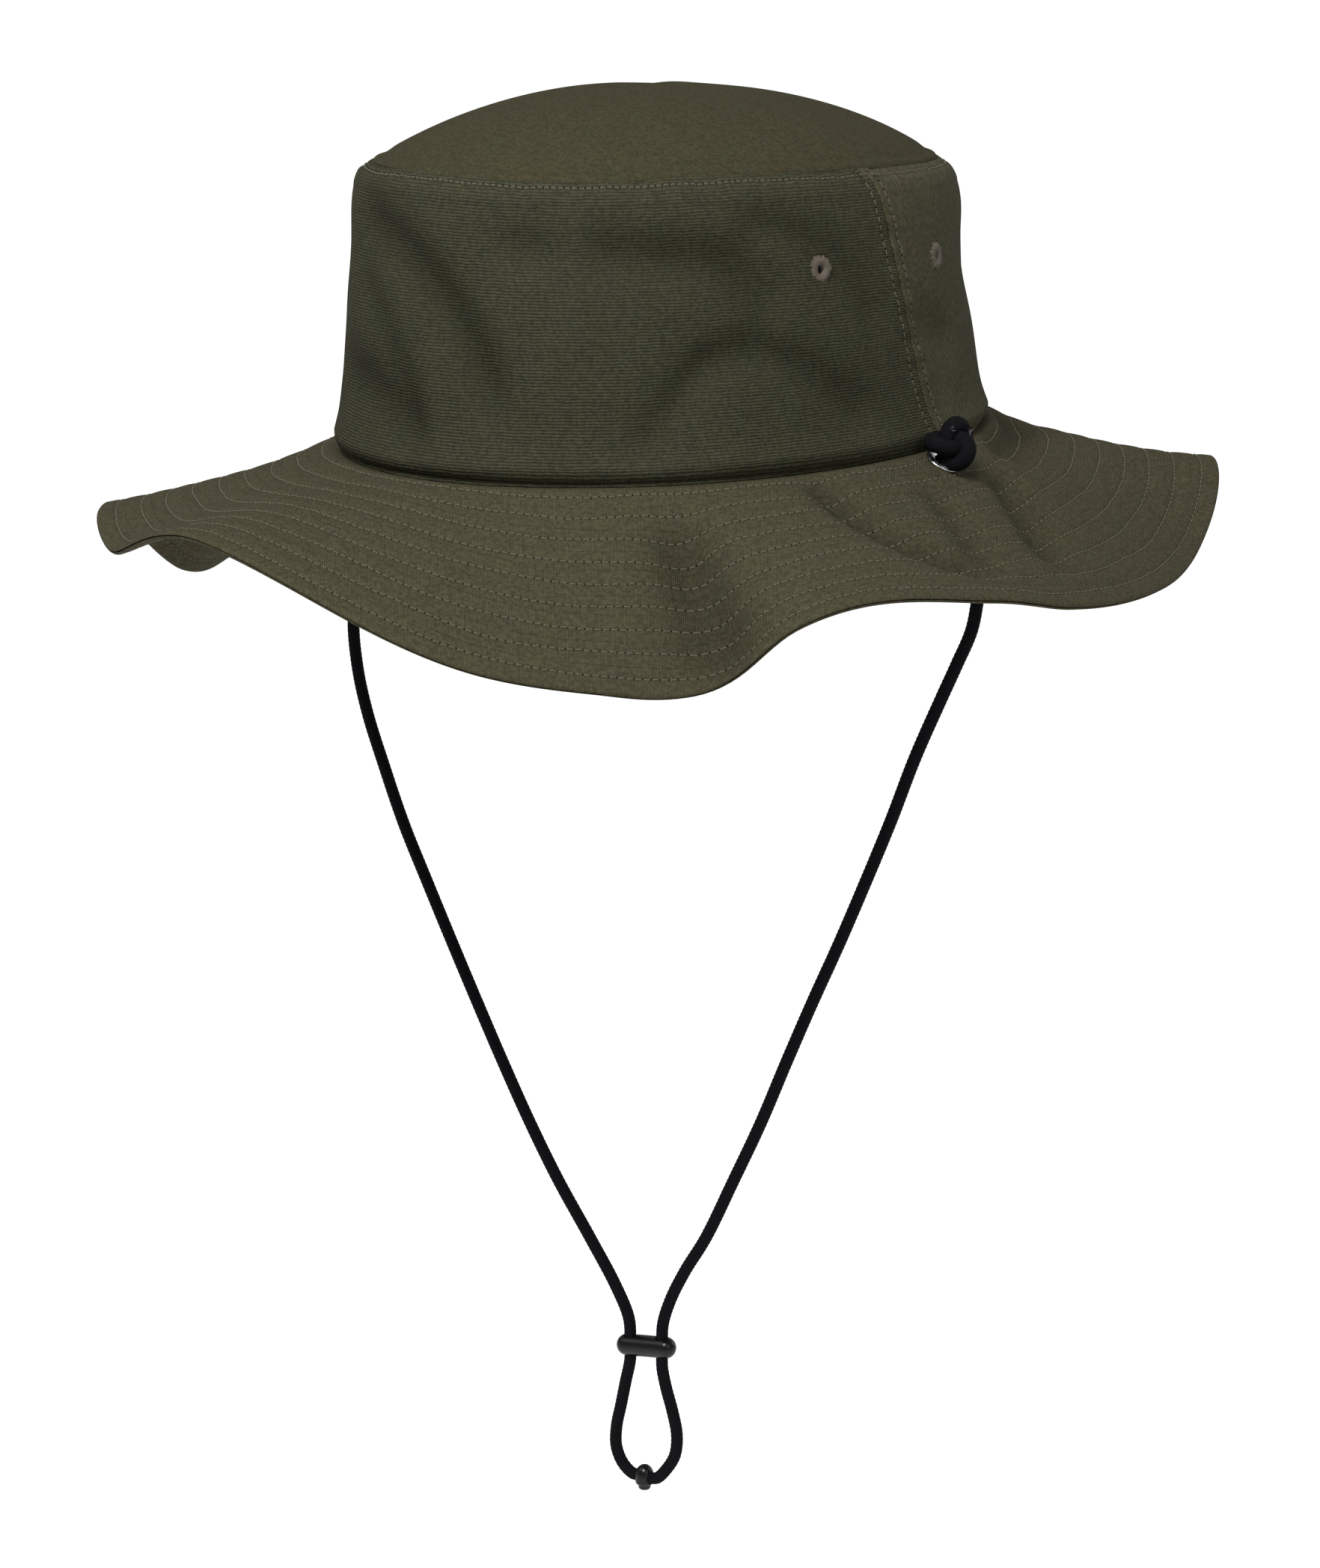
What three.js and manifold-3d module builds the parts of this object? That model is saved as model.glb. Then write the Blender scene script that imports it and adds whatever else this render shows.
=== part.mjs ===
// A bucket hat with a chin cord, in millimetres.
// The origin is the centre of the head opening, in the plane where the crown meets the brim.
// +Z is up, -Y is the front of the hat and +X is the wearer's left.
import * as THREE from 'three';
import Module from 'manifold-3d';
import { mergeVertices } from 'three/addons/utils/BufferGeometryUtils.js';

const wasm = await Module();
wasm.setup();

// ---------- driving dimensions ----------
const GAP = 0.3;                          // room left between pieces that touch on the real hat
const CANVAS = 0.7;                       // thickness of the crown's canvas
const PLY = 0.6;                          // thickness of each brim ply
const INTERLINING = 0.4;                  // thickness of the stiffener between the plies
const TAPE = 0.5;                         // thickness of the tapes over the inner seams
const BAND = 0.9;                         // thickness of the sweatband
const LAYER_ROOM = 0.4;                   // room between curved layers, a little more than the gap

const CROWN_BASE = { x: 87, y: 102 };     // half widths of the crown where it meets the brim
const CROWN_HEIGHT = 74.5;                // height of the side panels
const TIP_RISE = 20.5;                    // height of the dome above the side panels
const TIP_FULLNESS = 2.4;                 // exponent of the dome's curve, 2 would be a parabola
const INSET_RATIO = 0.55;                 // taper front to back, as a share of the taper side to side
const BASE_LEAN = { x: 0.011, y: 0.021 }; // rise of the base line per mm to the left and the rear
const TOP_LEAN = { x: 0.02, y: -0.04 };  // rise of the top line per mm to the left and the rear
// The crown's taper: [share of the height, inset in mm from the base's half width].
const TAPER = [[0, 0], [0.04, 1.4], [0.2, 3.2], [0.45, 4.8], [0.7, 6.4], [0.87, 7.4], [0.96, 10], [1, 14.5]];
const SEAM = { base: 4.2, lean: 11.7 };   // degrees a side seam starts behind the side, and leans forwards

const BRIM_SLANT = 71;                    // width of the brim from the crown to its edge
const BRIM_INSET = 1;                     // how far the brim reaches in under the crown
// Height of the brim's edge under the crown's base: [degrees from +X round to the rear, mm].
const EDGE_WAVES = [
  [-172, -44.5], [-156, -43.5], [-146, -22], [-136, -17.5], [-121, -21.3], [-100, -8.7], [-73, -38.1],
  [-61, -44.5], [-51, -44.9], [-42, -27.5], [-33, -21.9], [-20, -26.2], [-8, -33.4], [10, -37.7],
  [30, -34.5], [47, -16.5], [62, -42], [80, -38], [112, -24], [150, -42],
];
const WAVE_SPREAD = 14;                   // degrees over which the waves soften next to the crown

const SWEATBAND_TOP = 30;                 // height of the sweatband inside the crown
const LABEL = { angle: 90, halfAngle: 8, bottom: 4, top: 40, thickness: 0.4 };

const VENT = { toFront: 17, toRear: 13.5, height: 50, outer: 4.2, barrel: 1.7, hole: 1.2, flange: 0.4 };

const EYELET = { slant: 7.2, outer: 5, bore: 2.5, barrel: 2.9, flange: 0.7, washer: 0.6, seat: 0.45 };
const EYELET_ANGLES = { left: 0, right: 180 };

const CORD = 1.7;                         // radius of the braided cord
const CORD_SIDES = 8;
const PIVOT_Z = -9.4;                     // the height at which the cord starts to swing
const KNOT = { across: 7.2, along: 6.2 };

const SLIDER = { x: -6.5, z: -275.6, length: 20.3, radius: 3.25, holeSpacing: 11.4, bore: 2.1 };
const BEAD = { x: -7.2, z: -316.6, radius: 2.75, top: 3.9, nub: 1.9, bottom: 3.9, bore: 2.05 };
// The cord's route in the plane of the two eyelets: [x, z], from under the eyelet to the slider.
const LEG_ROUTES = {
  left: [[94.5, -17], [101, -26], [104.6, -36], [102.3, -48], [97.8, -58], [93, -68], [84.6, -86],
    [76.9, -105], [68.6, -124], [60, -143], [51.4, -161], [42.7, -180], [33.8, -200], [24.4, -219],
    [14.8, -238], [7.2, -250], [2, -260], [-0.6, -268]],
  right: [[-94.5, -17], [-101.5, -28], [-107.6, -41], [-112, -56], [-113.4, -70], [-111.9, -84],
    [-108.4, -97], [-102.5, -112], [-95.2, -129], [-86.4, -146], [-77.4, -163], [-68.2, -180],
    [-58.8, -197], [-48.9, -214], [-38.6, -230], [-26.8, -246], [-17.6, -259], [-12.9, -268]],
};
// The loop under the slider: [x, z], from the slider to the bead.
const LOOP_ROUTES = {
  left: [[-0.8, -281], [0.6, -287], [2.9, -294], [4.5, -301], [3.8, -307.5], [0.4, -313], [-2.6, -316],
    [-5.2, -316.6]],
  right: [[-12.4, -281], [-14, -288], [-15.8, -296], [-17.4, -303], [-17.5, -309], [-15.4, -313.6],
    [-11.9, -316.3], [-9.2, -316.6]],
};

// ---------- materials ----------
function material(color, roughness, metalness = 0) {
  return new THREE.MeshStandardMaterial({ color, roughness, metalness });
}

const CANVAS_FINISH = material('#45422f', 0.92);
const LINING_FINISH = material('#4b4836', 0.92);
const BAND_FINISH = material('#34322a', 0.9);
const LABEL_FINISH = material('#20201e', 0.8);
const THREAD_FINISH = material('#6b6258', 0.8);
const METAL_FINISH = material('#b9babb', 0.3, 1);
const CORD_FINISH = material('#101013', 0.85);
const PLASTIC_FINISH = material('#0e0f11', 0.35);

const hat = new THREE.Group();

function place(name, geometry, finish) {
  const mesh = new THREE.Mesh(geometry, finish);
  mesh.name = name;
  hat.add(mesh);
  return mesh;
}

// ---------- joining and cutting ----------
function toSolid(geometry) {
  const bare = geometry.clone();
  bare.deleteAttribute('normal');
  bare.deleteAttribute('uv');
  const merged = mergeVertices(bare, 1e-4);
  const vertProperties = new Float32Array(merged.getAttribute('position').array);
  const triVerts = new Uint32Array(merged.getIndex().array);
  return new wasm.Manifold(new wasm.Mesh({ numProp: 3, vertProperties, triVerts }));
}

function toGeometry(solid) {
  const mesh = solid.getMesh();
  const geometry = new THREE.BufferGeometry();
  geometry.setAttribute('position', new THREE.BufferAttribute(new Float32Array(mesh.vertProperties), 3));
  geometry.setIndex([...mesh.triVerts]);
  geometry.computeVertexNormals();
  return geometry;
}

const join = (a, b) => toGeometry(toSolid(a).add(toSolid(b)));

function cut(geometry, tools) {
  return toGeometry(tools.reduce((solid, tool) => solid.subtract(toSolid(tool)), toSolid(geometry)));
}

// ---------- curves and surfaces ----------
const radians = THREE.MathUtils.degToRad;

function steps(from, to, count) {
  return Array.from({ length: count + 1 }, (_, i) => from + (to - from) * i / count);
}

// Height of the brim's edge at an angle, on a smooth closed curve through EDGE_WAVES.
function edgeHeight(angle) {
  const count = EDGE_WAVES.length;
  const knot = (i) => {
    const [turn, index] = [Math.floor(i / count), ((i % count) + count) % count];
    return [EDGE_WAVES[index][0] + 360 * turn, EDGE_WAVES[index][1]];
  };
  const start = EDGE_WAVES[0][0];
  const a = ((((angle - start) % 360) + 360) % 360) + start;
  let i = 0;
  while (knot(i + 1)[0] <= a) i += 1;
  const [before, from, to, after] = [knot(i - 1), knot(i), knot(i + 1), knot(i + 2)];
  const span = to[0] - from[0];
  const slopeFrom = (to[1] - before[1]) / (to[0] - before[0]) * span;
  const slopeTo = (after[1] - from[1]) / (after[0] - from[0]) * span;
  const s = (a - from[0]) / span;
  return (1 + 2 * s) * (1 - s) ** 2 * from[1] + s * (1 - s) ** 2 * slopeFrom
    + s * s * (3 - 2 * s) * to[1] + s * s * (s - 1) * slopeTo;
}

function softEdgeHeight(angle) {
  const around = [-1, -0.5, 0, 0.5, 1].map((share) => edgeHeight(angle + share * WAVE_SPREAD));
  return around.reduce((sum, height) => sum + height, 0) / around.length;
}

// Inset of the crown's wall at a share of its height, straight between the points of TAPER.
function taper(share) {
  const next = Math.max(1, TAPER.findIndex(([height]) => height >= share - 1e-9));
  const [[fromHeight, fromInset], [toHeight, toInset]] = [TAPER[next - 1], TAPER[next]];
  return THREE.MathUtils.mapLinear(share, fromHeight, toHeight, fromInset, toInset);
}

const baseHeight = (x, y) => BASE_LEAN.x * x + BASE_LEAN.y * y;
const topHeight = (x, y) => CROWN_HEIGHT + TOP_LEAN.x * x + TOP_LEAN.y * y;

// A point of the crown's outer wall, at an angle and a share of the wall's height.
function crownWall(angle, share) {
  const inset = taper(share);
  const x = (CROWN_BASE.x - inset) * Math.cos(radians(angle));
  const y = (CROWN_BASE.y - inset * INSET_RATIO) * Math.sin(radians(angle));
  return new THREE.Vector3(x, y, THREE.MathUtils.lerp(baseHeight(x, y), topHeight(x, y), share));
}

// The angle of a side seam at a share of the wall's height.
const leftSeam = (share) => SEAM.base - SEAM.lean * share;
const rightSeam = (share) => 180 - leftSeam(share);

// A patch of the crown's wall between two upright lines, by the share of the way across and up.
function between(from, to) {
  return (across, share) => crownWall(THREE.MathUtils.lerp(from(share), to(share), across), share);
}

// A point of the brim's upper surface, at an angle and a share of the way out from the crown.
function brimTop(angle, share) {
  const [a, b] = [CROWN_BASE.x - BRIM_INSET, CROWN_BASE.y - BRIM_INSET];
  const [cos, sin] = [Math.cos(radians(angle)), Math.sin(radians(angle))];
  const outward = new THREE.Vector2(cos / a, sin / b).normalize();
  const edge = THREE.MathUtils.lerp(softEdgeHeight(angle), edgeHeight(angle), share);
  const reach = Math.sqrt(BRIM_SLANT ** 2 - edge ** 2) * share;
  const [x, y] = [a * cos, b * sin];
  const z = baseHeight(x, y) - GAP + edge * share;
  return new THREE.Vector3(x + outward.x * reach, y + outward.y * reach, z);
}

// The same surface from the edge inwards, so that its normal points up.
const brimInwards = (angle, share) => brimTop(angle, 1 - share);

function surfaceNormal(surface, u, v) {
  const step = 0.002;
  const alongU = surface(u + step, v).sub(surface(u - step, v));
  const alongV = surface(u, v + step).sub(surface(u, v - step));
  return alongU.cross(alongV).normalize();
}

// A closed sheet that follows a surface, from one depth under it to another.
function sheet(surface, us, vs, depth, thickness, isRing) {
  const positions = [];
  const index = [];
  const rows = vs.length;
  const columns = isRing ? us.length - 1 : us.length;
  for (const level of [depth, depth + thickness]) {
    for (let i = 0; i < columns; i += 1) {
      for (const v of vs) {
        const point = surface(us[i], v).addScaledVector(surfaceNormal(surface, us[i], v), -level);
        positions.push(point.x, point.y, point.z);
      }
    }
  }
  const outer = (i, j) => (i % columns) * rows + j;
  const inner = (i, j) => columns * rows + outer(i, j);
  const quad = (a, b, c, d) => index.push(a, b, c, a, c, d);
  const last = rows - 1;
  for (let i = 0; i < us.length - 1; i += 1) {
    for (let j = 0; j < last; j += 1) {
      quad(outer(i, j), outer(i + 1, j), outer(i + 1, j + 1), outer(i, j + 1));
      quad(inner(i, j), inner(i, j + 1), inner(i + 1, j + 1), inner(i + 1, j));
    }
    quad(outer(i + 1, 0), outer(i, 0), inner(i, 0), inner(i + 1, 0));
    quad(outer(i, last), outer(i + 1, last), inner(i + 1, last), inner(i, last));
  }
  if (!isRing) {
    const end = us.length - 1;
    for (let j = 0; j < last; j += 1) {
      quad(outer(0, j), outer(0, j + 1), inner(0, j + 1), inner(0, j));
      quad(outer(end, j + 1), outer(end, j), inner(end, j), inner(end, j + 1));
    }
  }
  const geometry = new THREE.BufferGeometry();
  geometry.setAttribute('position', new THREE.Float32BufferAttribute(positions, 3));
  geometry.setIndex(index);
  geometry.computeVertexNormals();
  return geometry;
}

// A piece turned round +Z, moved so that its axis follows a normal at a point.
function turned(profile, segments, point, normal) {
  const geometry = new THREE.LatheGeometry(profile.map(([r, z]) => new THREE.Vector2(r, z)), segments);
  geometry.rotateX(Math.PI / 2);
  return aimed(geometry, point, normal);
}

function aimed(geometry, point, normal) {
  const turn = new THREE.Quaternion().setFromUnitVectors(new THREE.Vector3(0, 0, 1), normal);
  return geometry.applyQuaternion(turn).translate(point.x, point.y, point.z);
}

function rod(radius, from, to) {
  const axis = to.clone().sub(from);
  const geometry = new THREE.CylinderGeometry(radius, radius, axis.length(), 16).rotateX(Math.PI / 2);
  return aimed(geometry, from.clone().lerp(to, 0.5), axis.normalize());
}

// A rod to cut with, as far over a point as under it.
const DRILL_REACH = 6;

function drill(radius, point, direction) {
  const above = point.clone().addScaledVector(direction, DRILL_REACH);
  return rod(radius, point.clone().addScaledVector(direction, -DRILL_REACH), above);
}

// ---------- crown ----------
const PANEL_LEVELS = [0, 0.04, 0.2, 0.45, 0.7, 0.87, 0.96, 1];

function ventPlace(seam, offset) {
  const share = VENT.height / CROWN_HEIGHT;
  const angle = seam(share) + offset;
  return { point: crownWall(angle, share), normal: surfaceNormal(crownWall, angle, share) };
}

function addCrownPanel(name, from, to, vents) {
  const margin = THREE.MathUtils.radToDeg(GAP / 2 / CROWN_BASE.x);
  const patch = between((share) => from(share) + margin, (share) => to(share) - margin);
  const panel = sheet(patch, steps(0, 1, 30), PANEL_LEVELS, 0, CANVAS, false);
  const holes = vents.map(({ point, normal }) => drill(VENT.barrel + GAP, point, normal));
  place(name, cut(panel, holes), CANVAS_FINISH);
}

function addCrownTip() {
  const half = { x: CROWN_BASE.x - taper(1), y: CROWN_BASE.y - taper(1) * INSET_RATIO };
  const radii = steps(0, 1, 6);
  const dome = (r, depth) => new THREE.Vector2(r, TIP_RISE * (1 - r ** TIP_FULLNESS) + depth);
  const profile = [...radii.map((r) => dome(r, 0)), ...radii.reverse().map((r) => dome(r, CANVAS))];
  const geometry = new THREE.LatheGeometry(profile, 52);
  geometry.rotateX(Math.PI / 2).scale(half.x, half.y, 1);
  const lean = new THREE.Matrix4().set(
    1, 0, 0, 0,
    0, 1, 0, 0,
    TOP_LEAN.x, TOP_LEAN.y, 1, CROWN_HEIGHT + GAP,
    0, 0, 0, 1,
  );
  place('crown_tip', geometry.applyMatrix4(lean), CANVAS_FINISH);
}

const TAPE_DEPTH = CANVAS + LAYER_ROOM;

function addInsideTapes() {
  const around = steps(0, 360, 52);
  place('tip_seam_tape', sheet(crownWall, around, [0.885, 0.955], TAPE_DEPTH, TAPE, true), BAND_FINISH);
  for (const [name, seam] of [['side_seam_tape_left', leftSeam], ['side_seam_tape_right', rightSeam]]) {
    const patch = between((share) => seam(share) - 2.4, (share) => seam(share) + 2.4);
    place(name, sheet(patch, steps(0, 1, 2), [0.44, 0.7, 0.86], TAPE_DEPTH, TAPE, false), BAND_FINISH);
  }
  const bandRows = [0.012, 0.04, 0.2, SWEATBAND_TOP / CROWN_HEIGHT];
  place('sweatband', sheet(crownWall, around, bandRows, TAPE_DEPTH, BAND, true), BAND_FINISH);
  const { angle, halfAngle, bottom, top, thickness } = LABEL;
  const labelRows = [bottom / CROWN_HEIGHT, 0.2, 0.45, top / CROWN_HEIGHT];
  const label = sheet(crownWall, steps(angle - halfAngle, angle + halfAngle, 4), labelRows,
    TAPE_DEPTH + BAND + LAYER_ROOM, thickness, false);
  place('size_label', label, LABEL_FINISH);
}

function addVent(name, { point, normal }) {
  const { hole, barrel, outer, flange } = VENT;
  const [front, back] = [LAYER_ROOM, -CANVAS - LAYER_ROOM];
  const profile = [
    [hole, back - flange], [outer, back - flange], [outer, back], [barrel, back], [barrel, front],
    [outer, front], [outer, front + flange], [hole, front + flange], [hole, back - flange],
  ];
  place(name, turned(profile, 12, point, normal), THREAD_FINISH);
}

// ---------- brim ----------
const BRIM_STACK = PLY + GAP + INTERLINING + GAP + PLY;

function eyeletPlace(side) {
  const [angle, share] = [EYELET_ANGLES[side], EYELET.slant / BRIM_SLANT];
  return { point: brimTop(angle, share), normal: surfaceNormal(brimInwards, angle, 1 - share) };
}

function addBrim() {
  const inwards = steps(0, 1, 3);
  const around = steps(0, 360, 72);
  const plies = [
    ['brim_upper_ply', 0, PLY, CANVAS_FINISH],
    ['brim_interlining', PLY + GAP, INTERLINING, LINING_FINISH],
    ['brim_lower_ply', PLY + INTERLINING + 2 * GAP, PLY, CANVAS_FINISH],
  ];
  const holes = Object.keys(EYELET_ANGLES).map((side) => {
    const { point, normal } = eyeletPlace(side);
    return drill(EYELET.barrel + GAP, point, normal);
  });
  for (const [name, depth, thickness, finish] of plies) {
    place(name, cut(sheet(brimInwards, around, inwards, depth, thickness, true), holes), finish);
  }
}

function addEyelet(side) {
  const { point, normal } = eyeletPlace(side);
  const { outer, bore, barrel, flange, washer, seat } = EYELET;
  const bottom = -BRIM_STACK - seat - washer;
  const ring = [
    [bore, bottom], [barrel, bottom], [barrel, seat], [outer, seat], [outer - 0.4, seat + flange * 0.7],
    [(outer + bore) / 2, seat + flange], [bore + 0.3, seat + flange * 0.7], [bore, seat], [bore, bottom],
  ];
  place(`eyelet_${side}_flange`, turned(ring, 24, point, normal), METAL_FINISH);
  const rim = barrel + GAP;
  const back = [
    [rim, bottom], [outer, bottom], [outer, bottom + washer], [rim, bottom + washer], [rim, bottom],
  ];
  place(`eyelet_${side}_washer`, turned(back, 24, point, normal), METAL_FINISH);
}

// ---------- chin cord ----------
const SIGNS = { left: 1, right: -1 };
const inPlane = ([x, z]) => new THREE.Vector3(x, 0, z);

function pivot(side) {
  const { point, normal } = eyeletPlace(side);
  return point.clone().addScaledVector(normal, (PIVOT_Z - point.z) / normal.z);
}

function tube(points, stepCount) {
  const section = new THREE.Shape();
  for (let i = 0; i < CORD_SIDES; i += 1) {
    const angle = 2 * Math.PI * i / CORD_SIDES;
    const [x, y] = [CORD * Math.cos(angle), CORD * Math.sin(angle)];
    if (i === 0) section.moveTo(x, y); else section.lineTo(x, y);
  }
  const path = new THREE.CatmullRomCurve3(points, false, 'centripetal');
  return new THREE.ExtrudeGeometry(section, { steps: stepCount, extrudePath: path, bevelEnabled: false });
}

function addKnot(side) {
  const { point, normal } = eyeletPlace(side);
  const height = EYELET.seat + EYELET.flange + LAYER_ROOM + KNOT.along;
  const centre = point.clone().addScaledVector(normal, height);
  const ball = new THREE.SphereGeometry(1, 14, 10).rotateX(Math.PI / 2);
  ball.scale(KNOT.across, KNOT.across, KNOT.along);
  const end = pivot(side).addScaledVector(normal, CORD + LAYER_ROOM);
  const stub = rod(CORD, centre, end);
  place(`cord_knot_${side}`, join(aimed(ball, centre, normal), stub), CORD_FINISH);
}

function addCord(side) {
  const hole = SLIDER.x + SIGNS[side] * SLIDER.holeSpacing / 2;
  const top = pivot(side);
  const legEnd = [hole, SLIDER.z + GAP / 2];
  const leg = tube([top, ...LEG_ROUTES[side].map(inPlane), inPlane(legEnd)], 32);
  const ball = new THREE.SphereGeometry(CORD, 8, 6).translate(top.x, top.y, top.z);
  place(`cord_leg_${side}`, join(leg, ball), CORD_FINISH);
  const loopStart = [hole, SLIDER.z - GAP / 2];
  const loopEnd = [BEAD.x + SIGNS[side] * GAP, BEAD.z];
  place(`cord_loop_${side}`, tube([loopStart, ...LOOP_ROUTES[side], loopEnd].map(inPlane), 16), CORD_FINISH);
}

function addSlider() {
  const { x, z, length, radius, holeSpacing, bore } = SLIDER;
  const bar = new THREE.CapsuleGeometry(radius, length - 2 * radius, 5, 16, 1).rotateZ(Math.PI / 2);
  bar.translate(x, 0, z);
  const up = new THREE.Vector3(0, 0, 1);
  const holes = [-1, 1].map((sign) => drill(bore, inPlane([x + sign * holeSpacing / 2, z]), up));
  place('cord_slider', cut(bar, holes), PLASTIC_FINISH);
}

function addBead() {
  const { x, z, radius, top, nub, bottom, bore } = BEAD;
  const profile = [
    [0, -bottom], [nub * 0.7, -bottom], [nub, -bottom + 0.6], [nub, -bore - 0.4], [radius, -bore],
    [radius, 1.2], [radius * 0.85, 2.6], [radius * 0.5, top - 0.35], [0, top],
  ];
  const body = turned(profile, 18, inPlane([x, z]), new THREE.Vector3(0, 0, 1));
  const hole = drill(bore, inPlane([x, z]), new THREE.Vector3(1, 0, 0));
  place('cord_bead', cut(body, [hole]), PLASTIC_FINISH);
}

// ---------- assembly ----------
const leftFront = ventPlace(leftSeam, -VENT.toFront);
const leftRear = ventPlace(leftSeam, VENT.toRear);
const rightFront = ventPlace(rightSeam, VENT.toFront);
const rightRear = ventPlace(rightSeam, -VENT.toRear);

addCrownTip();
addCrownPanel('crown_front_panel', (share) => rightSeam(share) - 360, leftSeam, [leftFront, rightFront]);
addCrownPanel('crown_rear_panel', leftSeam, rightSeam, [leftRear, rightRear]);
addVent('vent_left_front', leftFront);
addVent('vent_left_rear', leftRear);
addVent('vent_right_front', rightFront);
addVent('vent_right_rear', rightRear);
addInsideTapes();
addBrim();
for (const side of Object.keys(EYELET_ANGLES)) {
  addEyelet(side);
  addKnot(side);
  addCord(side);
}
addSlider();
addBead();

export default hat;
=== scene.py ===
# A bucket hat with a chin cord: its cloth, stitching, cord and fittings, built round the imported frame.
# Shapes are worked out in millimetres and turned into metres where a mesh is made. As in the frame,
# the origin is the centre of the head opening, +Z is up, -Y is the front and +X is the wearer's left.
import math

import bpy
import numpy as np
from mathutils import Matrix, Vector


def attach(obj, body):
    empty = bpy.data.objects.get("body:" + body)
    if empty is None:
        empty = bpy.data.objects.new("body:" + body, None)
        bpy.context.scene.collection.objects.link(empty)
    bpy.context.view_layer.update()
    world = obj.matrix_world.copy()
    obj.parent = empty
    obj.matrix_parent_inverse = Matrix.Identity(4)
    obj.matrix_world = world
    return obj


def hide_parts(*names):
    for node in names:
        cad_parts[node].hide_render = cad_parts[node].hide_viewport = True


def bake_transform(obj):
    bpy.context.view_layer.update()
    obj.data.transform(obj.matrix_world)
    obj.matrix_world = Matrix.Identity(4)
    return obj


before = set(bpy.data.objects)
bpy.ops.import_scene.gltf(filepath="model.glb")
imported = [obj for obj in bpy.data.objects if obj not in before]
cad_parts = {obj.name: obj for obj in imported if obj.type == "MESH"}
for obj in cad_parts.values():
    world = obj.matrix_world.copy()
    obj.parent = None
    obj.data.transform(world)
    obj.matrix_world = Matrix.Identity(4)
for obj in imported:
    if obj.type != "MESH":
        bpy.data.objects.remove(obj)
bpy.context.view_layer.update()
scene = bpy.context.scene
MM = 0.001

# ---------- the frame's own dimensions ----------
GAP = 0.3                        # between neighbouring pieces
CANVAS = 0.7                     # thickness of the crown's cloth
PLY = 0.6                        # of each ply of the brim
INTERLINING = 0.4
TAPE = 0.5
BAND = 0.9                       # of the sweatband
LAYER_ROOM = 0.4                 # between the layers inside the crown, and between a knot and its eyelet
BRIM_STACK = 2 * PLY + INTERLINING + 2 * GAP
TAPE_DEPTH = CANVAS + LAYER_ROOM
LABEL_DEPTH = TAPE_DEPTH + BAND + LAYER_ROOM

CROWN_BASE = (87, 102)           # half its width and half its length
CROWN_HEIGHT = 74.5              # of the wall
TIP_RISE = 20.5                  # of the dome above the wall
TIP_FULLNESS = 2.4               # a higher power makes a flatter dome
INSET_RATIO = 0.55               # the taper lengthwise, as a share of the taper across
BASE_LEAN = (0.011, 0.021)       # slopes of the crown's base along X and Y
TOP_LEAN = (0.02, -0.04)         # slopes of its rim
# The crown's taper: [share of the height, inset from the base's half width].
TAPER = np.array([
    [0, 0], [0.04, 1.4], [0.2, 3.2], [0.45, 4.8], [0.7, 6.4], [0.87, 7.4], [0.96, 10], [1, 14.5],
])
SEAM = {"base": 4.2, "lean": 11.7}    # a side seam's angle at the base, and how far it leans to the front
BRIM_SLANT = 71                  # width of the brim along its cloth
BRIM_INSET = 1                   # how far in under the wall it starts
# Height of the brim's edge under the crown's base: [degrees from +X round to the rear, mm].
EDGE_WAVES = np.array([
    [-172, -44.5], [-156, -43.5], [-146, -22], [-136, -17.5], [-121, -21.3], [-100, -8.7], [-73, -38.1],
    [-61, -44.5], [-51, -44.9], [-42, -27.5], [-33, -21.9], [-20, -26.2], [-8, -33.4], [10, -37.7],
    [30, -34.5], [47, -16.5], [62, -42], [80, -38], [112, -24], [150, -42],
], float)
WAVE_SPREAD = 14                 # degrees to each side over which the waves soften next to the crown
SWEATBAND_TOP = 30
LABEL = {"angle": 90, "half_angle": 8, "bottom": 4, "top": 40, "thickness": 0.4}
VENT = {"to_front": 17, "to_rear": 13.5, "height": 50, "outer": 4.2, "barrel": 1.7, "hole": 1.2}
EYELET = {"slant": 7.2, "outer": 5, "bore": 2.5, "barrel": 2.9, "flange": 0.7, "washer": 0.6, "seat": 0.45}
SIDES = {"left": {"sign": 1, "angle": 0}, "right": {"sign": -1, "angle": 180}}
CORD = 1.7                       # radius
PIVOT_Z = -9.4                   # height of the line the cord swings about
KNOT_ALONG = 6.2                 # half the length of a knot
SLIDER = {"x": -6.5, "z": -275.6, "length": 20.3, "radius": 3.25, "hole_spacing": 11.4, "bore": 2.1}
BEAD = {"x": -7.2, "z": -316.6, "bore": 2.05}
# The cord's route in the plane of the two eyelets: [x, z], from under the eyelet to the slider.
LEG_ROUTES = {
    "left": [
        [94.5, -17], [101, -26], [104.6, -36], [102.3, -48], [97.8, -58], [93, -68], [84.6, -86],
        [76.9, -105], [68.6, -124], [60, -143], [51.4, -161], [42.7, -180], [33.8, -200], [24.4, -219],
        [14.8, -238], [7.2, -250], [2, -260], [-0.6, -268],
    ],
    "right": [
        [-94.5, -17], [-101.5, -28], [-107.6, -41], [-112, -56], [-113.4, -70], [-111.9, -84],
        [-108.4, -97], [-102.5, -112], [-95.2, -129], [-86.4, -146], [-77.4, -163], [-68.2, -180],
        [-58.8, -197], [-48.9, -214], [-38.6, -230], [-26.8, -246], [-17.6, -259], [-12.9, -268],
    ],
}
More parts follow.
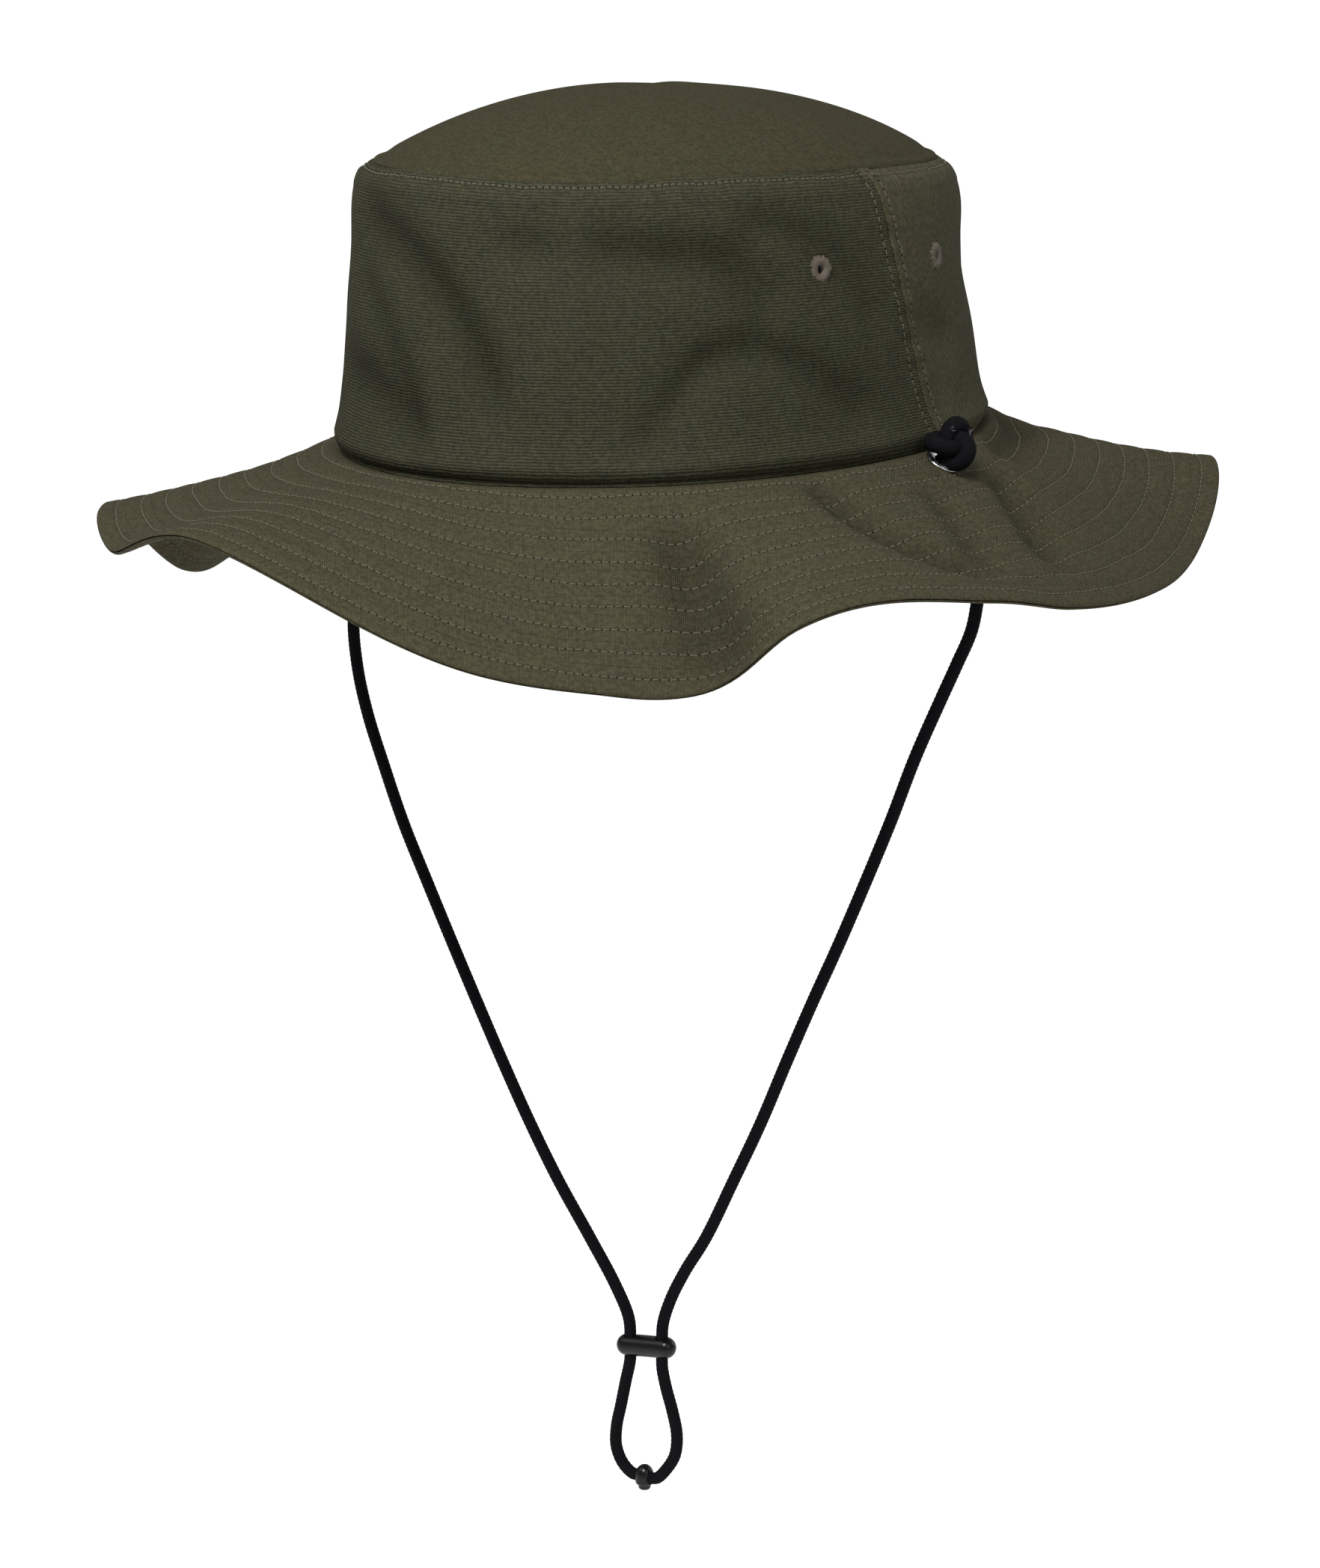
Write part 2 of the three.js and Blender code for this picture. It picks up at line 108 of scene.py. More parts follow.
# The loop under the slider: [x, z], from the slider to the bead.
LOOP_ROUTES = {
    "left": [
        [-0.8, -281], [0.6, -287], [2.9, -294], [4.5, -301], [3.8, -307.5], [0.4, -313], [-2.6, -316],
        [-5.2, -316.6],
    ],
    "right": [
        [-12.4, -281], [-14, -288], [-15.8, -296], [-17.4, -303], [-17.5, -309], [-15.4, -313.6],
        [-11.9, -316.3], [-9.2, -316.6],
    ],
}

# ---------- the looks' dimensions ----------
ROWS = {"count": 9, "first": 4.8, "spacing": 7.6, "pitch": 2.2, "dip": 0.28, "width": 0.8, "wobble": 0.3}
EDGE_ROLL = 0.92                 # radius of the fold at the brim's edge
THREAD = 0.19                    # radius of the sewing thread
TIP_ROW = 73.1                   # height of the stitching under the tip's seam
SEAM_ROW = 3.1                   # from a side seam to the rows of stitching beside it
BASE_ROLL = 1.4                  # how far the wall swells out just above the brim
BASE_TUCK = 3.4                  # how far it then turns in where it is sewn to the brim
GUTTER = 1.4                     # how far the brim dips along that seam
# How far the plies of the brim reach in under the wall, where they turn up behind it, and how steeply.
SEAM_ALLOWANCE = {"reach": 3.7, "turn": 2.3, "rise": 1.4}
PAINTED_CREASE_SHADE = 0.34               # painted shade: how much darker the cloth is painted along its deepest creases
FULL_SHADE_DEPTH = 5                  # crease depth at which that painted shade is full
FRONT_SAG = {"depth": 2.0, "angle": -68, "spread": 36}    # dip of the tip's seam over the forehead
SIDE_PULL = {"depth": 3.0, "angle": 38, "spread": 30}     # lean of the crown's rim behind the left side
EDGE_PULL = {"depth": 3.0, "angle": -146, "spread": 16}   # how far the brim's edge is drawn in at the right
TIP_STITCHES = {"pitch": 1.85, "start": -182}             # under the tip's seam: mm, and degrees
TAPE_SPANS = {"tip": (0.885, 0.955), "side": (0.44, 0.86)}    # shares of the crown's height
# The camera looks at a point a little aside from the hat's middle, at a height in m called aim.
CAMERA = {
    "azimuth": 35.1, "elevation": 12.75, "distance": 1.4, "aside": -0.0013, "aim": -0.1045, "lens": 112,
}
# The softboxes: the way to each, its size in m and its power in W. They stand the same distance away.
LAMP_DISTANCE = 2.2
LAMPS = {
    "key": ((0.16, -0.65, 0.75), 0.8, 51),
    "fill_right": ((-0.53, -0.5, 0.6), 1.2, 6),
    "fill_left": ((0.8, -0.35, 0.4), 1.2, 5),
    "fill_rear": ((0.35, 0.9, 0.2), 1.2, 5),
}
ROOM_LIGHT = 0.32                # strength of the light from all round
TIP_DIMPLE = {"at": (37.6, 26.4), "width": 22, "depth": 2.2}    # where the dome has sunk a little
# Soft dents in the crown: points as [degrees, mm up the wall], then width and depth in mm.
DENTS = [
    ([[-119, 61], [-108, 57.5], [-100, 52], [-93.5, 45], [-88.5, 37], [-84, 28], [-81, 19]], 7.5, 3.9),
    ([[-61, 57], [-50, 55], [-44, 54], [-38, 53], [-34, 47], [-31, 41]], 6.5, 3.2),
    ([[-78, 58], [-70, 58]], 6, 2.2),
    ([[-54, 7], [-48, 19], [-43, 27]], 5, 1.9),
    ([[-43, 28], [-37, 31], [-31, 30], [-25, 25.5], [-19, 19], [-13, 11]], 5.5, 2.9),
    ([[-118, 47], [-111, 37], [-106, 28], [-101, 19], [-98, 10]], 6.5, 1.8),
    ([[-126, 20], [-115, 19], [-106, 15], [-99, 8]], 7.5, 2.9),
    ([[-34, 63], [-25, 60], [-19, 54], [-13, 46], [-9, 36]], 5, 2.0),
    ([[3, 34], [8, 31], [13, 27]], 6, 1.9),
    ([[26, 42], [48, 42]], 14, 1.6),
    ([[70, 50], [88, 46], [104, 50]], 8, 1.6),
    ([[64, 24], [80, 30], [96, 22]], 7, 1.5),
    ([[112, 52], [128, 46], [150, 52]], 7, 1.5),
    ([[-160, 50], [-148, 40], [-140, 26]], 7, 1.4),
]
# Folds in the brim: points as [degrees, mm out from the crown], then width and depth in mm.
FOLDS = [
    ([[-50, 20], [-49.5, 34], [-48.8, 50], [-48.3, 66]], 8, 5.6),
    ([[-26, 8], [-25, 28], [-22, 44], [-17, 54]], 6.5, 4.6),
    ([[-14, 50], [-12, 40], [-10, 28], [-8.5, 18]], 5.5, 2.6),
    ([[-1, 50], [2, 40], [5.5, 29], [10, 17]], 7, 4.2),
    ([[20, 9], [48, 9]], 9, 4.5),
    ([[-178, 28], [-160, 30]], 12, -2.2),
]


def bell(distance, width):
    """1 in the middle, and less and less beyond the width."""
    return np.exp(-(distance / width) ** 2)


def folded_angle(angle):
    """The angle from -180 to 180 degrees."""
    return (angle + 180) % 360 - 180


def smooth_curve(knots, values, at):
    """A smooth curve through values at uneven knots."""
    slopes = np.gradient(values)
    slopes[1:-1] = (values[2:] - values[:-2]) / (knots[2:] - knots[:-2])
    slopes[0] = (values[1] - values[0]) / (knots[1] - knots[0])
    slopes[-1] = (values[-1] - values[-2]) / (knots[-1] - knots[-2])
    i = np.clip(np.searchsorted(knots, at, side="right") - 1, 0, len(knots) - 2)
    span = knots[i + 1] - knots[i]
    s = (at - knots[i]) / span
    start = (1 + 2 * s) * (1 - s) ** 2 * values[i] + s * (1 - s) ** 2 * slopes[i] * span
    return start + s * s * (3 - 2 * s) * values[i + 1] + s * s * (s - 1) * slopes[i + 1] * span


def edge_height(angle):
    """Height of the brim's edge under the crown's base, at an angle in degrees."""
    knots, heights = EDGE_WAVES.T
    knots = np.concatenate([knots[-2:] - 360, knots, knots[:3] + 360])
    heights = np.concatenate([heights[-2:], heights, heights[:3]])
    start = EDGE_WAVES[0, 0]
    return smooth_curve(knots, heights, (angle - start) % 360 + start)


def soft_edge_height(angle):
    return sum(edge_height(angle + share * WAVE_SPREAD) for share in (-1, -0.5, 0, 0.5, 1)) / 5


def around(shape, angle):
    """How far a shape of the whole hat, such as FRONT_SAG, moves the cloth at an angle."""
    return shape["depth"] * bell(folded_angle(angle - shape["angle"]), shape["spread"])


def crown_wall(angle, height):
    """A point of the crown's outer wall, at an angle and a height up the wall."""
    share = height / CROWN_HEIGHT
    inset = smooth_curve(*TAPER.T, np.maximum(share, 0))
    pull = around(SIDE_PULL, angle) * share
    x = (CROWN_BASE[0] - inset - pull) * np.cos(np.radians(angle))
    y = (CROWN_BASE[1] - inset * INSET_RATIO - pull) * np.sin(np.radians(angle))
    base = BASE_LEAN[0] * x + BASE_LEAN[1] * y
    top = CROWN_HEIGHT + TOP_LEAN[0] * x + TOP_LEAN[1] * y
    return np.stack([x, y, base + (top - base) * share - around(FRONT_SAG, angle) * share ** 2], -1)


TIP_HALF = (CROWN_BASE[0] - TAPER[-1, 1], CROWN_BASE[1] - TAPER[-1, 1] * INSET_RATIO)


def crown_tip(angle, radius):
    """A point of the crown's dome, at an angle and a distance from the middle out to its side."""
    share = radius / TIP_HALF[0]
    pull = around(SIDE_PULL, angle) * share ** 4
    x = (TIP_HALF[0] * share - pull) * np.cos(np.radians(angle))
    y = (TIP_HALF[1] * share - pull) * np.sin(np.radians(angle))
    lean = TOP_LEAN[0] * x + TOP_LEAN[1] * y - around(FRONT_SAG, angle) * share ** 6
    return np.stack([x, y, CROWN_HEIGHT + GAP + lean + TIP_RISE * (1 - share ** TIP_FULLNESS)], -1)


def left_seam(height):
    """The angle of the left side seam at a height up the wall."""
    return SEAM["base"] - SEAM["lean"] * height / CROWN_HEIGHT


def right_seam(height):
    return 180 - left_seam(height)


SEAMS = {"left": left_seam, "right": right_seam}


def brim_oval(angle):
    """Where the brim starts under the crown at an angle, and the way out from there, in plan."""
    a, b = CROWN_BASE[0] - BRIM_INSET, CROWN_BASE[1] - BRIM_INSET
    cos, sin = np.cos(np.radians(angle)), np.sin(np.radians(angle))
    outward = np.stack([cos / a, sin / b], -1)
    outward /= np.linalg.norm(outward, axis=-1, keepdims=True)
    return np.stack([a * cos, b * sin], -1), outward


def brim_sheet(angle, reach):
    """A point of the brim's upper surface, at an angle and a distance out along the cloth."""
    start, outward = brim_oval(angle)
    share = reach / BRIM_SLANT
    soft, full = soft_edge_height(angle), edge_height(angle)
    edge = soft + (full - soft) * share
    width = np.sqrt(BRIM_SLANT ** 2 - edge ** 2) - around(EDGE_PULL, angle)
    plan = start + outward * (width * share)[..., None]
    z = BASE_LEAN[0] * start[..., 0] + BASE_LEAN[1] * start[..., 1] - GAP + edge * np.maximum(share, 0)
    return np.concatenate([plan, z[..., None]], -1)


STEP = 0.05


def unit(vectors):
    return vectors / np.linalg.norm(vectors, axis=-1, keepdims=True)


def normal(surface, u, v):
    """The way out of the hat from one of its three surfaces."""
    along_u = surface(u + STEP, v) - surface(u - STEP, v)
    along_v = surface(u, v + STEP) - surface(u, v - STEP)
    side = 1 if surface is crown_wall else -1
    return side * unit(np.cross(along_u, along_v))


def lifted(surface, u, v, height):
    u, v, height = np.broadcast_arrays(u, v, height)
    return surface(u, v) + normal(surface, u, v) * height[..., None]


# ---------- relief: what sewing and handling do to the cloth ----------
def ripples(angle, distance, seed, turns, length, waves=14):
    """Gentle unevenness of about -1 to 1 that closes on itself round the hat and is the same each run."""
    draw = np.random.default_rng(seed)
    total = 0
    for _ in range(waves):
        crests = draw.integers(turns[0], turns[1] + 1)
        along = draw.uniform(-2 * np.pi, 2 * np.pi) / length
        total = total + np.cos(np.radians(angle) * crests + distance * along + draw.uniform(0, 2 * np.pi))
    return total / math.sqrt(waves)


def groove(u, v, points, width, depth):
    """Depth of a soft groove along a curve through some points, all in mm."""
    points = np.array(points, float)
    knots = np.concatenate([[0], np.cumsum(np.hypot(*np.diff(points, axis=0).T))])
    count = max(4, int(math.ceil(knots[-1] / (0.6 * width))))
    at = np.linspace(0, knots[-1], count)
    x, y = smooth_curve(knots, points[:, 0], at), smooth_curve(knots, points[:, 1], at)
    spacing = knots[-1] / (count - 1)
    total = sum(np.exp(-((u - a) ** 2 + (v - b) ** 2) / width ** 2) for a, b in zip(x, y))
    return depth * total * spacing / (width * math.sqrt(math.pi))


WALL_MM_PER_DEGREE = math.radians(1) * 92
BRIM_MM_PER_DEGREE = math.radians(1) * 125


def from_seam(angle, height):
    """Distance along the wall from the nearer side seam, positive on the side of the larger angle."""
    left, right = (folded_angle(angle - seam(height)) for seam in SEAMS.values())
    return np.where(abs(left) < abs(right), left, right) * WALL_MM_PER_DEGREE


def all_grooves(shapes, angle, out, mm_per_degree):
    """The depth at an angle and a distance of all the grooves in a part of the hat."""
    along = folded_angle(angle) * mm_per_degree
    lines = [([(degrees * mm_per_degree, v) for degrees, v in points], *size) for points, *size in shapes]
    return sum(groove(along, out, *line) for line in lines)


def wall_dents(angle, height):
    return all_grooves(DENTS, angle, height, WALL_MM_PER_DEGREE)


def brim_folds(angle, reach):
    return all_grooves(FOLDS, angle, reach, BRIM_MM_PER_DEGREE) * np.clip(reach / 8, 0, 1)


def crease_shade_map(depth):
    """A UV map that tells the cloth's finish how much shade to paint along creases: how deep in a crease
    each point is.
    """
    return np.stack([np.clip(depth / FULL_SHADE_DEPTH, 0, 1), np.zeros_like(depth)], -1)


def wall_relief(angle, height):
    """How far the wall's outer face stands out of its plain shape."""
    angle, height = np.broadcast_arrays(angle, height)
    relief = 0.35 * ripples(angle, height, 3, (2, 9), 55)
    relief = relief + 0.12 * ripples(angle, height, 5, (12, 34), 26)
    relief = relief - wall_dents(angle, height)
    # The turnings lift the cloth beside a side seam, as far as they reach, and it dips along the stitching.
    across, turning = abs(from_seam(angle, height)), 4.8
    puckers = 0.16 * ripples(height * 5, angle, 9, (4, 11), 40)
    relief = relief + (0.45 + puckers) / (1 + np.exp((across - turning) / 0.4))
    relief = relief - 0.4 * bell(across - SEAM_ROW, 0.6) - 0.5 * bell(across, 0.45)
    # The same under the tip's seam.
    below_seam, turning = CROWN_HEIGHT - height, 6
    relief = relief + 0.3 / (1 + np.exp((below_seam - turning) / 0.3))
    puckers = 0.14 * ripples(angle, height, 10, (70, 160), 40) * bell(below_seam - 2.5, 2.4)
    relief = relief + puckers - 0.35 * bell(height - TIP_ROW, 0.6) - 0.25 * np.exp(-below_seam / 0.6)
    relief = relief + BASE_ROLL * bell(height, 7)
    return relief - BASE_TUCK * np.clip(1 - height / 3.2, 0, 1) ** 2


def tip_relief(angle, radius):
    """How far the dome's outer face stands out of its plain shape, with a ridge and a drop at its rim."""
    angle, radius = np.broadcast_arrays(angle, radius)
    from_rim = TIP_HALF[0] - radius
    relief = np.clip(radius / 12, 0, 1) * 0.35 * ripples(angle, radius, 11, (1, 4), 70)
    from_dimple = np.linalg.norm(crown_tip(angle, radius)[..., :2] - TIP_DIMPLE["at"], axis=-1)
    relief = relief - TIP_DIMPLE["depth"] * bell(from_dimple, TIP_DIMPLE["width"])
    relief = relief + 0.25 * bell(from_rim - 1.3, 0.9) - 0.3 * bell(from_rim - 3.6, 1.6)
    return relief - 0.4 * np.exp(-from_rim / 0.45)


def row_reach(row, angle):
    """Distance out to a row of the brim's stitching at an angle."""
    wobble = ROWS["wobble"] * ripples(angle, 0, 40 + row, (3, 24), 1)
    return ROWS["first"] + ROWS["spacing"] * row + wobble


def from_row(angle, reach):
    """The nearest row of stitching, and the distance out from it."""
    row = np.clip(np.rint((reach - ROWS["first"]) / ROWS["spacing"]), 0, ROWS["count"] - 1).astype(int)
    rows = np.stack([row_reach(k, angle) for k in range(ROWS["count"])])
    return row, reach - np.take_along_axis(rows, row[None], 0)[0]


def brim_sway(angle, reach):
    """Relief that both plies of the brim share."""
    angle, reach = np.broadcast_arrays(angle, reach)
    sway = 0.3 * ripples(angle, reach, 21, (4, 16), 60) * np.clip(reach / 20, 0, 1)
    sway = sway - GUTTER * bell(np.maximum(reach, 0), 2)
    turned_up = SEAM_ALLOWANCE["rise"] * np.maximum(-reach - SEAM_ALLOWANCE["turn"], 0)
    return sway + turned_up - brim_folds(angle, reach)


def quilting(angle, reach, seed):
    """How far the cloth of one ply puffs out of the brim between its rows, and dips into it along them."""
    angle, reach = np.broadcast_arrays(angle, reach)
    _, off = from_row(angle, reach)
    puff = 0.07 * np.cos(2 * np.pi * off / ROWS["spacing"] + np.pi)
    puckers = 0.07 * ripples(angle, reach, seed, (60, 150), 18, 18) * bell(off, 3)
    return puff + puckers - ROWS["dip"] * bell(off, ROWS["width"])


# ---------- meshes ----------
def shell(outer, inner, closed=False, solid=None, flipped=False):
    """A closed sheet between two grids of points, [column, row], with holes where solid is False.
    It returns points, four-sided faces, and for each corner its place in a grid with one column more."""
    columns, rows = outer.shape[:2]
    count = columns * rows
    across = columns if closed else columns - 1
    i, j = np.meshgrid(np.arange(across), np.arange(rows - 1), indexing="ij")
    corner_i = np.stack([i, i + 1, i + 1, i], -1)
    corner_j = np.stack([j, j, j + 1, j + 1], -1)
    corners = (corner_i % columns) * rows + corner_j
    spots = corner_i * rows + corner_j
    solid = np.ones((across, rows - 1), bool) if solid is None else solid
    padded = np.pad(solid, 1)
    if closed:
        padded[0, 1:-1], padded[-1, 1:-1] = solid[-1], solid[0]
    beside = [padded[1:-1, :-2], padded[2:, 1:-1], padded[1:-1, 2:], padded[:-2, 1:-1]]
    faces = [corners[solid], corners[solid][:, ::-1] + count]
    places = [spots[solid], spots[solid][:, ::-1]]
    for k, neighbour in enumerate(beside):
        bare = solid & ~neighbour
        a, b = corners[bare][:, k], corners[bare][:, (k + 1) % 4]
        faces.append(np.stack([b, a, a + count, b + count], -1))
        a, b = spots[bare][:, k], spots[bare][:, (k + 1) % 4]
        places.append(np.stack([b, a, a, b], -1))
    points = np.concatenate([outer.reshape(-1, 3), inner.reshape(-1, 3)])
    faces, places = np.concatenate(faces), np.concatenate(places)
    if flipped:
        faces, places = faces[:, ::-1], places[:, ::-1]
    used, faces = np.unique(faces, return_inverse=True)
    return points[used], faces.reshape(-1, 4), places


def ring_quads(rings, sides, closed=False):
    """Four-sided faces between rings of points. If closed, the last ring joins the first."""
    i, j = np.meshgrid(np.arange(rings if closed else rings - 1), np.arange(sides), indexing="ij")
    ahead_i, ahead_j = (i + 1) % rings, (j + 1) % sides
    corners = [i * sides + j, ahead_i * sides + j, ahead_i * sides + ahead_j, i * sides + ahead_j]
    return np.stack(corners, -1).reshape(-1, 4)


def ring_spokes(sides, first, second):
    """The ways from the middle of a ring to its points, from two ways at right angles."""
    turn = np.arange(sides)[:, None] * 2 * np.pi / sides
    return np.cos(turn) * first + np.sin(turn) * second


def tube(path, sides, radius, across, closed=False):
    """A tube along a path, with a radius per ring and side. across is a way at right angles to the path."""
    path = np.asarray(path, float)
    count = len(path)
    ahead = np.roll(path, -1, 0) - np.roll(path, 1, 0) if closed else np.gradient(path, axis=0)
    ahead = unit(ahead)
    first = unit(np.cross(ahead, np.cross(np.broadcast_to(across, path.shape), ahead)))
    spokes = ring_spokes(sides, first[:, None], np.cross(ahead, first)[:, None])
    rings = path[:, None] + spokes * np.broadcast_to(radius, (count, sides))[..., None]
    faces = [np.roll(ring_quads(count, sides, closed)[:, ::-1], 1, axis=1)]
    if not closed:
        faces += [fan(sides)[:, ::-1], fan(sides) + (count - 1) * sides]
    return rings.reshape(-1, 3), np.concatenate(faces)


def fan(sides):
    """Four-sided faces that close a ring of an even number of points."""
    k = np.arange(1, sides - 1, 2)
    return np.stack([np.zeros_like(k), k, k + 1, (k + 2) % sides], -1)


def lathe(profile, segments, centre, axis):
    """A closed ring turned round an axis, from a profile of [radius, along] that closes on itself."""
    axis = unit(np.array(axis, float))
    side = unit(np.cross(axis, [0.3, 1, 0.2]))
    profile = np.asarray(profile, float)
    spokes = ring_spokes(segments, side, np.cross(axis, side))
    rings = spokes[:, None] * profile[None, :, 0, None] + profile[None, :, 1, None] * axis
    return rings.reshape(-1, 3) + centre, ring_quads(segments, len(profile), True)


def merged(parts):
    """Several (points, faces) as one."""
    points, faces, offset = [], [], 0
    for some_points, some_faces in parts:
        points.append(some_points)
        faces.append(some_faces + offset)
        offset += len(some_points)
    return np.concatenate(points), np.concatenate(faces)


def mesh_object(name, points, faces, material, uvs=None, crease=40):
    """A smooth-shaded object from points in mm and four-sided faces. uvs are (name, per-corner places)."""
    mesh = bpy.data.meshes.new(name)
    mesh.vertices.add(len(points))
    mesh.vertices.foreach_set("co", (np.asarray(points) * MM).astype(np.float32).ravel())
    mesh.loops.add(faces.size)
    mesh.loops.foreach_set("vertex_index", faces.astype(np.int32).ravel())
    mesh.polygons.add(len(faces))
    mesh.polygons.foreach_set("loop_start", np.arange(0, faces.size, 4, dtype=np.int32))
    mesh.update(calc_edges=True)
    mesh.validate()
    for uv_name, places in (uvs or {}).items():
        layer = mesh.uv_layers.new(name=uv_name)
        layer.uv.foreach_set("vector", places.astype(np.float32).ravel())
    mesh.polygons.foreach_set("use_smooth", np.ones(len(mesh.polygons), bool))
    mesh.set_sharp_from_angle(angle=math.radians(crease))
    mesh.materials.append(material)
    made = bpy.data.objects.new(name, mesh)
    scene.collection.objects.link(made)
    return made


def dress(piece, body, slot, *nodes):
    """The piece moves with a body and stands for these nodes of the frame. slot is not used."""
    if body:
        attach(piece, body)
    if nodes:
        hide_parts(*nodes)
    return piece


def face_middles(*grids):
    """The middles of the faces of a grid, from its points' two coordinates."""
    return [(grid[:-1, :-1] + grid[1:, 1:]) / 2 for grid in grids]


def two_faces(surface, u, v, height, thickness):
    """The outer and the inner face of cloth whose outer face stands at a height out of a surface."""
    return [lifted(surface, u, v, height - depth) for depth in (0, thickness)]


def cloth_piece(name, node_name, both_faces, material, slot, maps, **layout):
    """Cloth between two grids of points. maps are its UV maps: a place for each point of the outer grid."""
    points, faces, places = shell(*both_faces, **layout)
    uvs = {key: grid.reshape(-1, 2)[places] for key, grid in maps.items()}
    dress(mesh_object(name, points, faces, material, uvs), "hat", slot, node_name)


def closed_grid(angles, levels):
    """The places of a shell's points that goes right round, with a last column where it meets its first."""
    return np.meshgrid(np.append(angles, 360), levels, indexing="ij")


# ---------- camera, light and floor ----------
def add_camera():
    azimuth, elevation = math.radians(CAMERA["azimuth"]), math.radians(CAMERA["elevation"])
    aside = CAMERA["aside"]
    target = Vector((aside * math.cos(azimuth), aside * math.sin(azimuth), CAMERA["aim"]))
    level = math.cos(elevation)
    back = Vector((math.sin(azimuth) * level, -math.cos(azimuth) * level, math.sin(elevation)))
    data = bpy.data.cameras.new("camera")
    data.lens = CAMERA["lens"]
    camera = bpy.data.objects.new("camera", data)
    camera.location = target + back * CAMERA["distance"]
    camera.rotation_mode = "QUATERNION"
    camera.rotation_quaternion = (-back).to_track_quat("-Z", "Y")
    scene.collection.objects.link(camera)
    scene.camera = camera


def add_softbox(name, direction, size, power):
    data = bpy.data.lights.new(name, "AREA")
    data.size = size
    data.energy = power
    lamp = bpy.data.objects.new(name, data)
    toward = Vector(direction).normalized()
    lamp.location = toward * LAMP_DISTANCE
    lamp.rotation_mode = "QUATERNION"
    lamp.rotation_quaternion = toward.to_track_quat("Z", "Y")
    scene.collection.objects.link(lamp)


def add_studio():
    """White surroundings, which the camera sees brighter than they light the hat, lamps and a floor."""
    world = bpy.data.worlds.new("studio")
    world.use_nodes = True
    tree = world.node_tree
    backdrop = tree.nodes["Background"]
    backdrop.inputs["Color"].default_value = (1, 1, 1, 1)
    feed(tree, backdrop.inputs["Strength"], camera_sees(tree, 1, ROOM_LIGHT))
    scene.world = world
    scene.view_settings.view_transform = "Standard"
    for name, lamp in LAMPS.items():
        add_softbox(name, *lamp)
    half_size, height = 40000, -1000
    corners = [[x * half_size, y * half_size, height] for x, y in ((-1, -1), (1, -1), (1, 1), (-1, 1))]
    mesh_object("floor", corners, np.array([[0, 1, 2, 3]]), floor_finish())


# ---------- materials ----------
class Number:
    """A number that nodes work out. What is worked out from it takes more nodes."""

    def __init__(self, tree, socket):
        self.tree, self.socket = tree, socket

    def calc(self, operation, *others):
        made = node(self.tree, "Math", self, *others, operation=operation)
        return Number(self.tree, made.outputs[0])

    def __add__(self, other):
        return self.calc("ADD", other)

    def __sub__(self, other):
        return self.calc("SUBTRACT", other)

    def __mul__(self, other):
        return self.calc("MULTIPLY", other)

    def scaled(self, factor, added):
        return self.calc("MULTIPLY_ADD", factor, added)

    def ranged(self, *ends):
        """The number carried smoothly from between two ends to between two others, and held at them."""
        made = node(self.tree, "MapRange", self, *ends, interpolation_type="SMOOTHSTEP")
        return Number(self.tree, made.outputs[0])


def feed(tree, socket, value):
    """Gives a node's input a constant, a number worked out by nodes or another node's output."""
    if isinstance(value, Number):
        value = value.socket
    if isinstance(value, bpy.types.NodeSocket):
        tree.links.new(value, socket)
    else:
        socket.default_value = value


def node(tree, kind, *inputs, **settings):
    """A shader node with its first inputs, in order, and its settings."""
    made = tree.nodes.new("ShaderNode" + kind)
    for key, value in settings.items():
        setattr(made, key, value)
    for socket, value in zip(made.inputs, inputs):
        feed(tree, socket, value)
    return made


def mix(tree, share, first, second):
    """A colour between two."""
    made = node(tree, "Mix", data_type="RGBA")
    factor, colours = 0, (6, 7)
    for index, value in zip((factor, *colours), (share, first, second)):
        feed(tree, made.inputs[index], value)
    return made.outputs[2]


def shade(tree, colour, brightness):
    """A colour made darker or lighter by a number."""
    factors = node(tree, "CombineXYZ", brightness, brightness, brightness).outputs[0]
    return node(tree, "VectorMath", colour, factors, operation="MULTIPLY").outputs[0]


def noise(tree, scale, detail):
    """Noise from 0 to 1 in the object's own space, scale in waves per metre."""
    made = node(tree, "TexNoise", tree.nodes.new("ShaderNodeTexCoord").outputs["Object"])
    made.inputs["Scale"].default_value = scale
    made.inputs["Detail"].default_value = detail
    return Number(tree, made.outputs["Fac"])


def camera_sees(tree, seen, otherwise):
    """One number for what the camera sees, and another for the light that the surface gives."""
    ray = tree.nodes.new("ShaderNodeLightPath").outputs["Is Camera Ray"]
    return Number(tree, ray).ranged(0, 1, otherwise, seen)


def new_finish(name, roughness, **values):
    """A material, its node tree and its shader, with the shader's constant values set."""
    material = bpy.data.materials.new(name)
    material.use_nodes = True
    shader = material.node_tree.nodes["Principled BSDF"]
    shader.inputs["Roughness"].default_value = roughness
    for key, value in values.items():
        shader.inputs[key.replace("_", " ").title().replace("Ior", "IOR")].default_value = value
    return material, material.node_tree, shader


def bump(tree, shader, height):
    """Feeds the shader a surface whose height is in mm."""
    made = node(tree, "Bump", 1, MM)
    feed(tree, made.inputs["Height"], height)
    feed(tree, shader.inputs["Normal"], made.outputs["Normal"])


def uv_parts(tree, name):
    """The two coordinates of a UV map."""
    parts = node(tree, "SeparateXYZ", node(tree, "UVMap", uv_map=name).outputs[0]).outputs
    return Number(tree, parts[0]), Number(tree, parts[1])


def wave(value, length):
    """A wave from 0 to 1 with its crests a length apart."""
    return (value * (2 * math.pi / length)).calc("COSINE").scaled(0.5, 0.5)


def duck_weave(u, v, unevenness):
    """Height from 0 to 1 of a duck canvas: thick ribs across, crossed by finer threads."""
    rib, thread = 0.78, 0.67
    place = unevenness.scaled(0.5, v).calc("DIVIDE", rib)
    row = place.calc("FLOOR")
    ridge = ((place - row - 0.5) * math.pi).calc("COSINE")
    return ridge * wave(row.scaled(thread / 2, u), thread).scaled(0.5, 0.5)


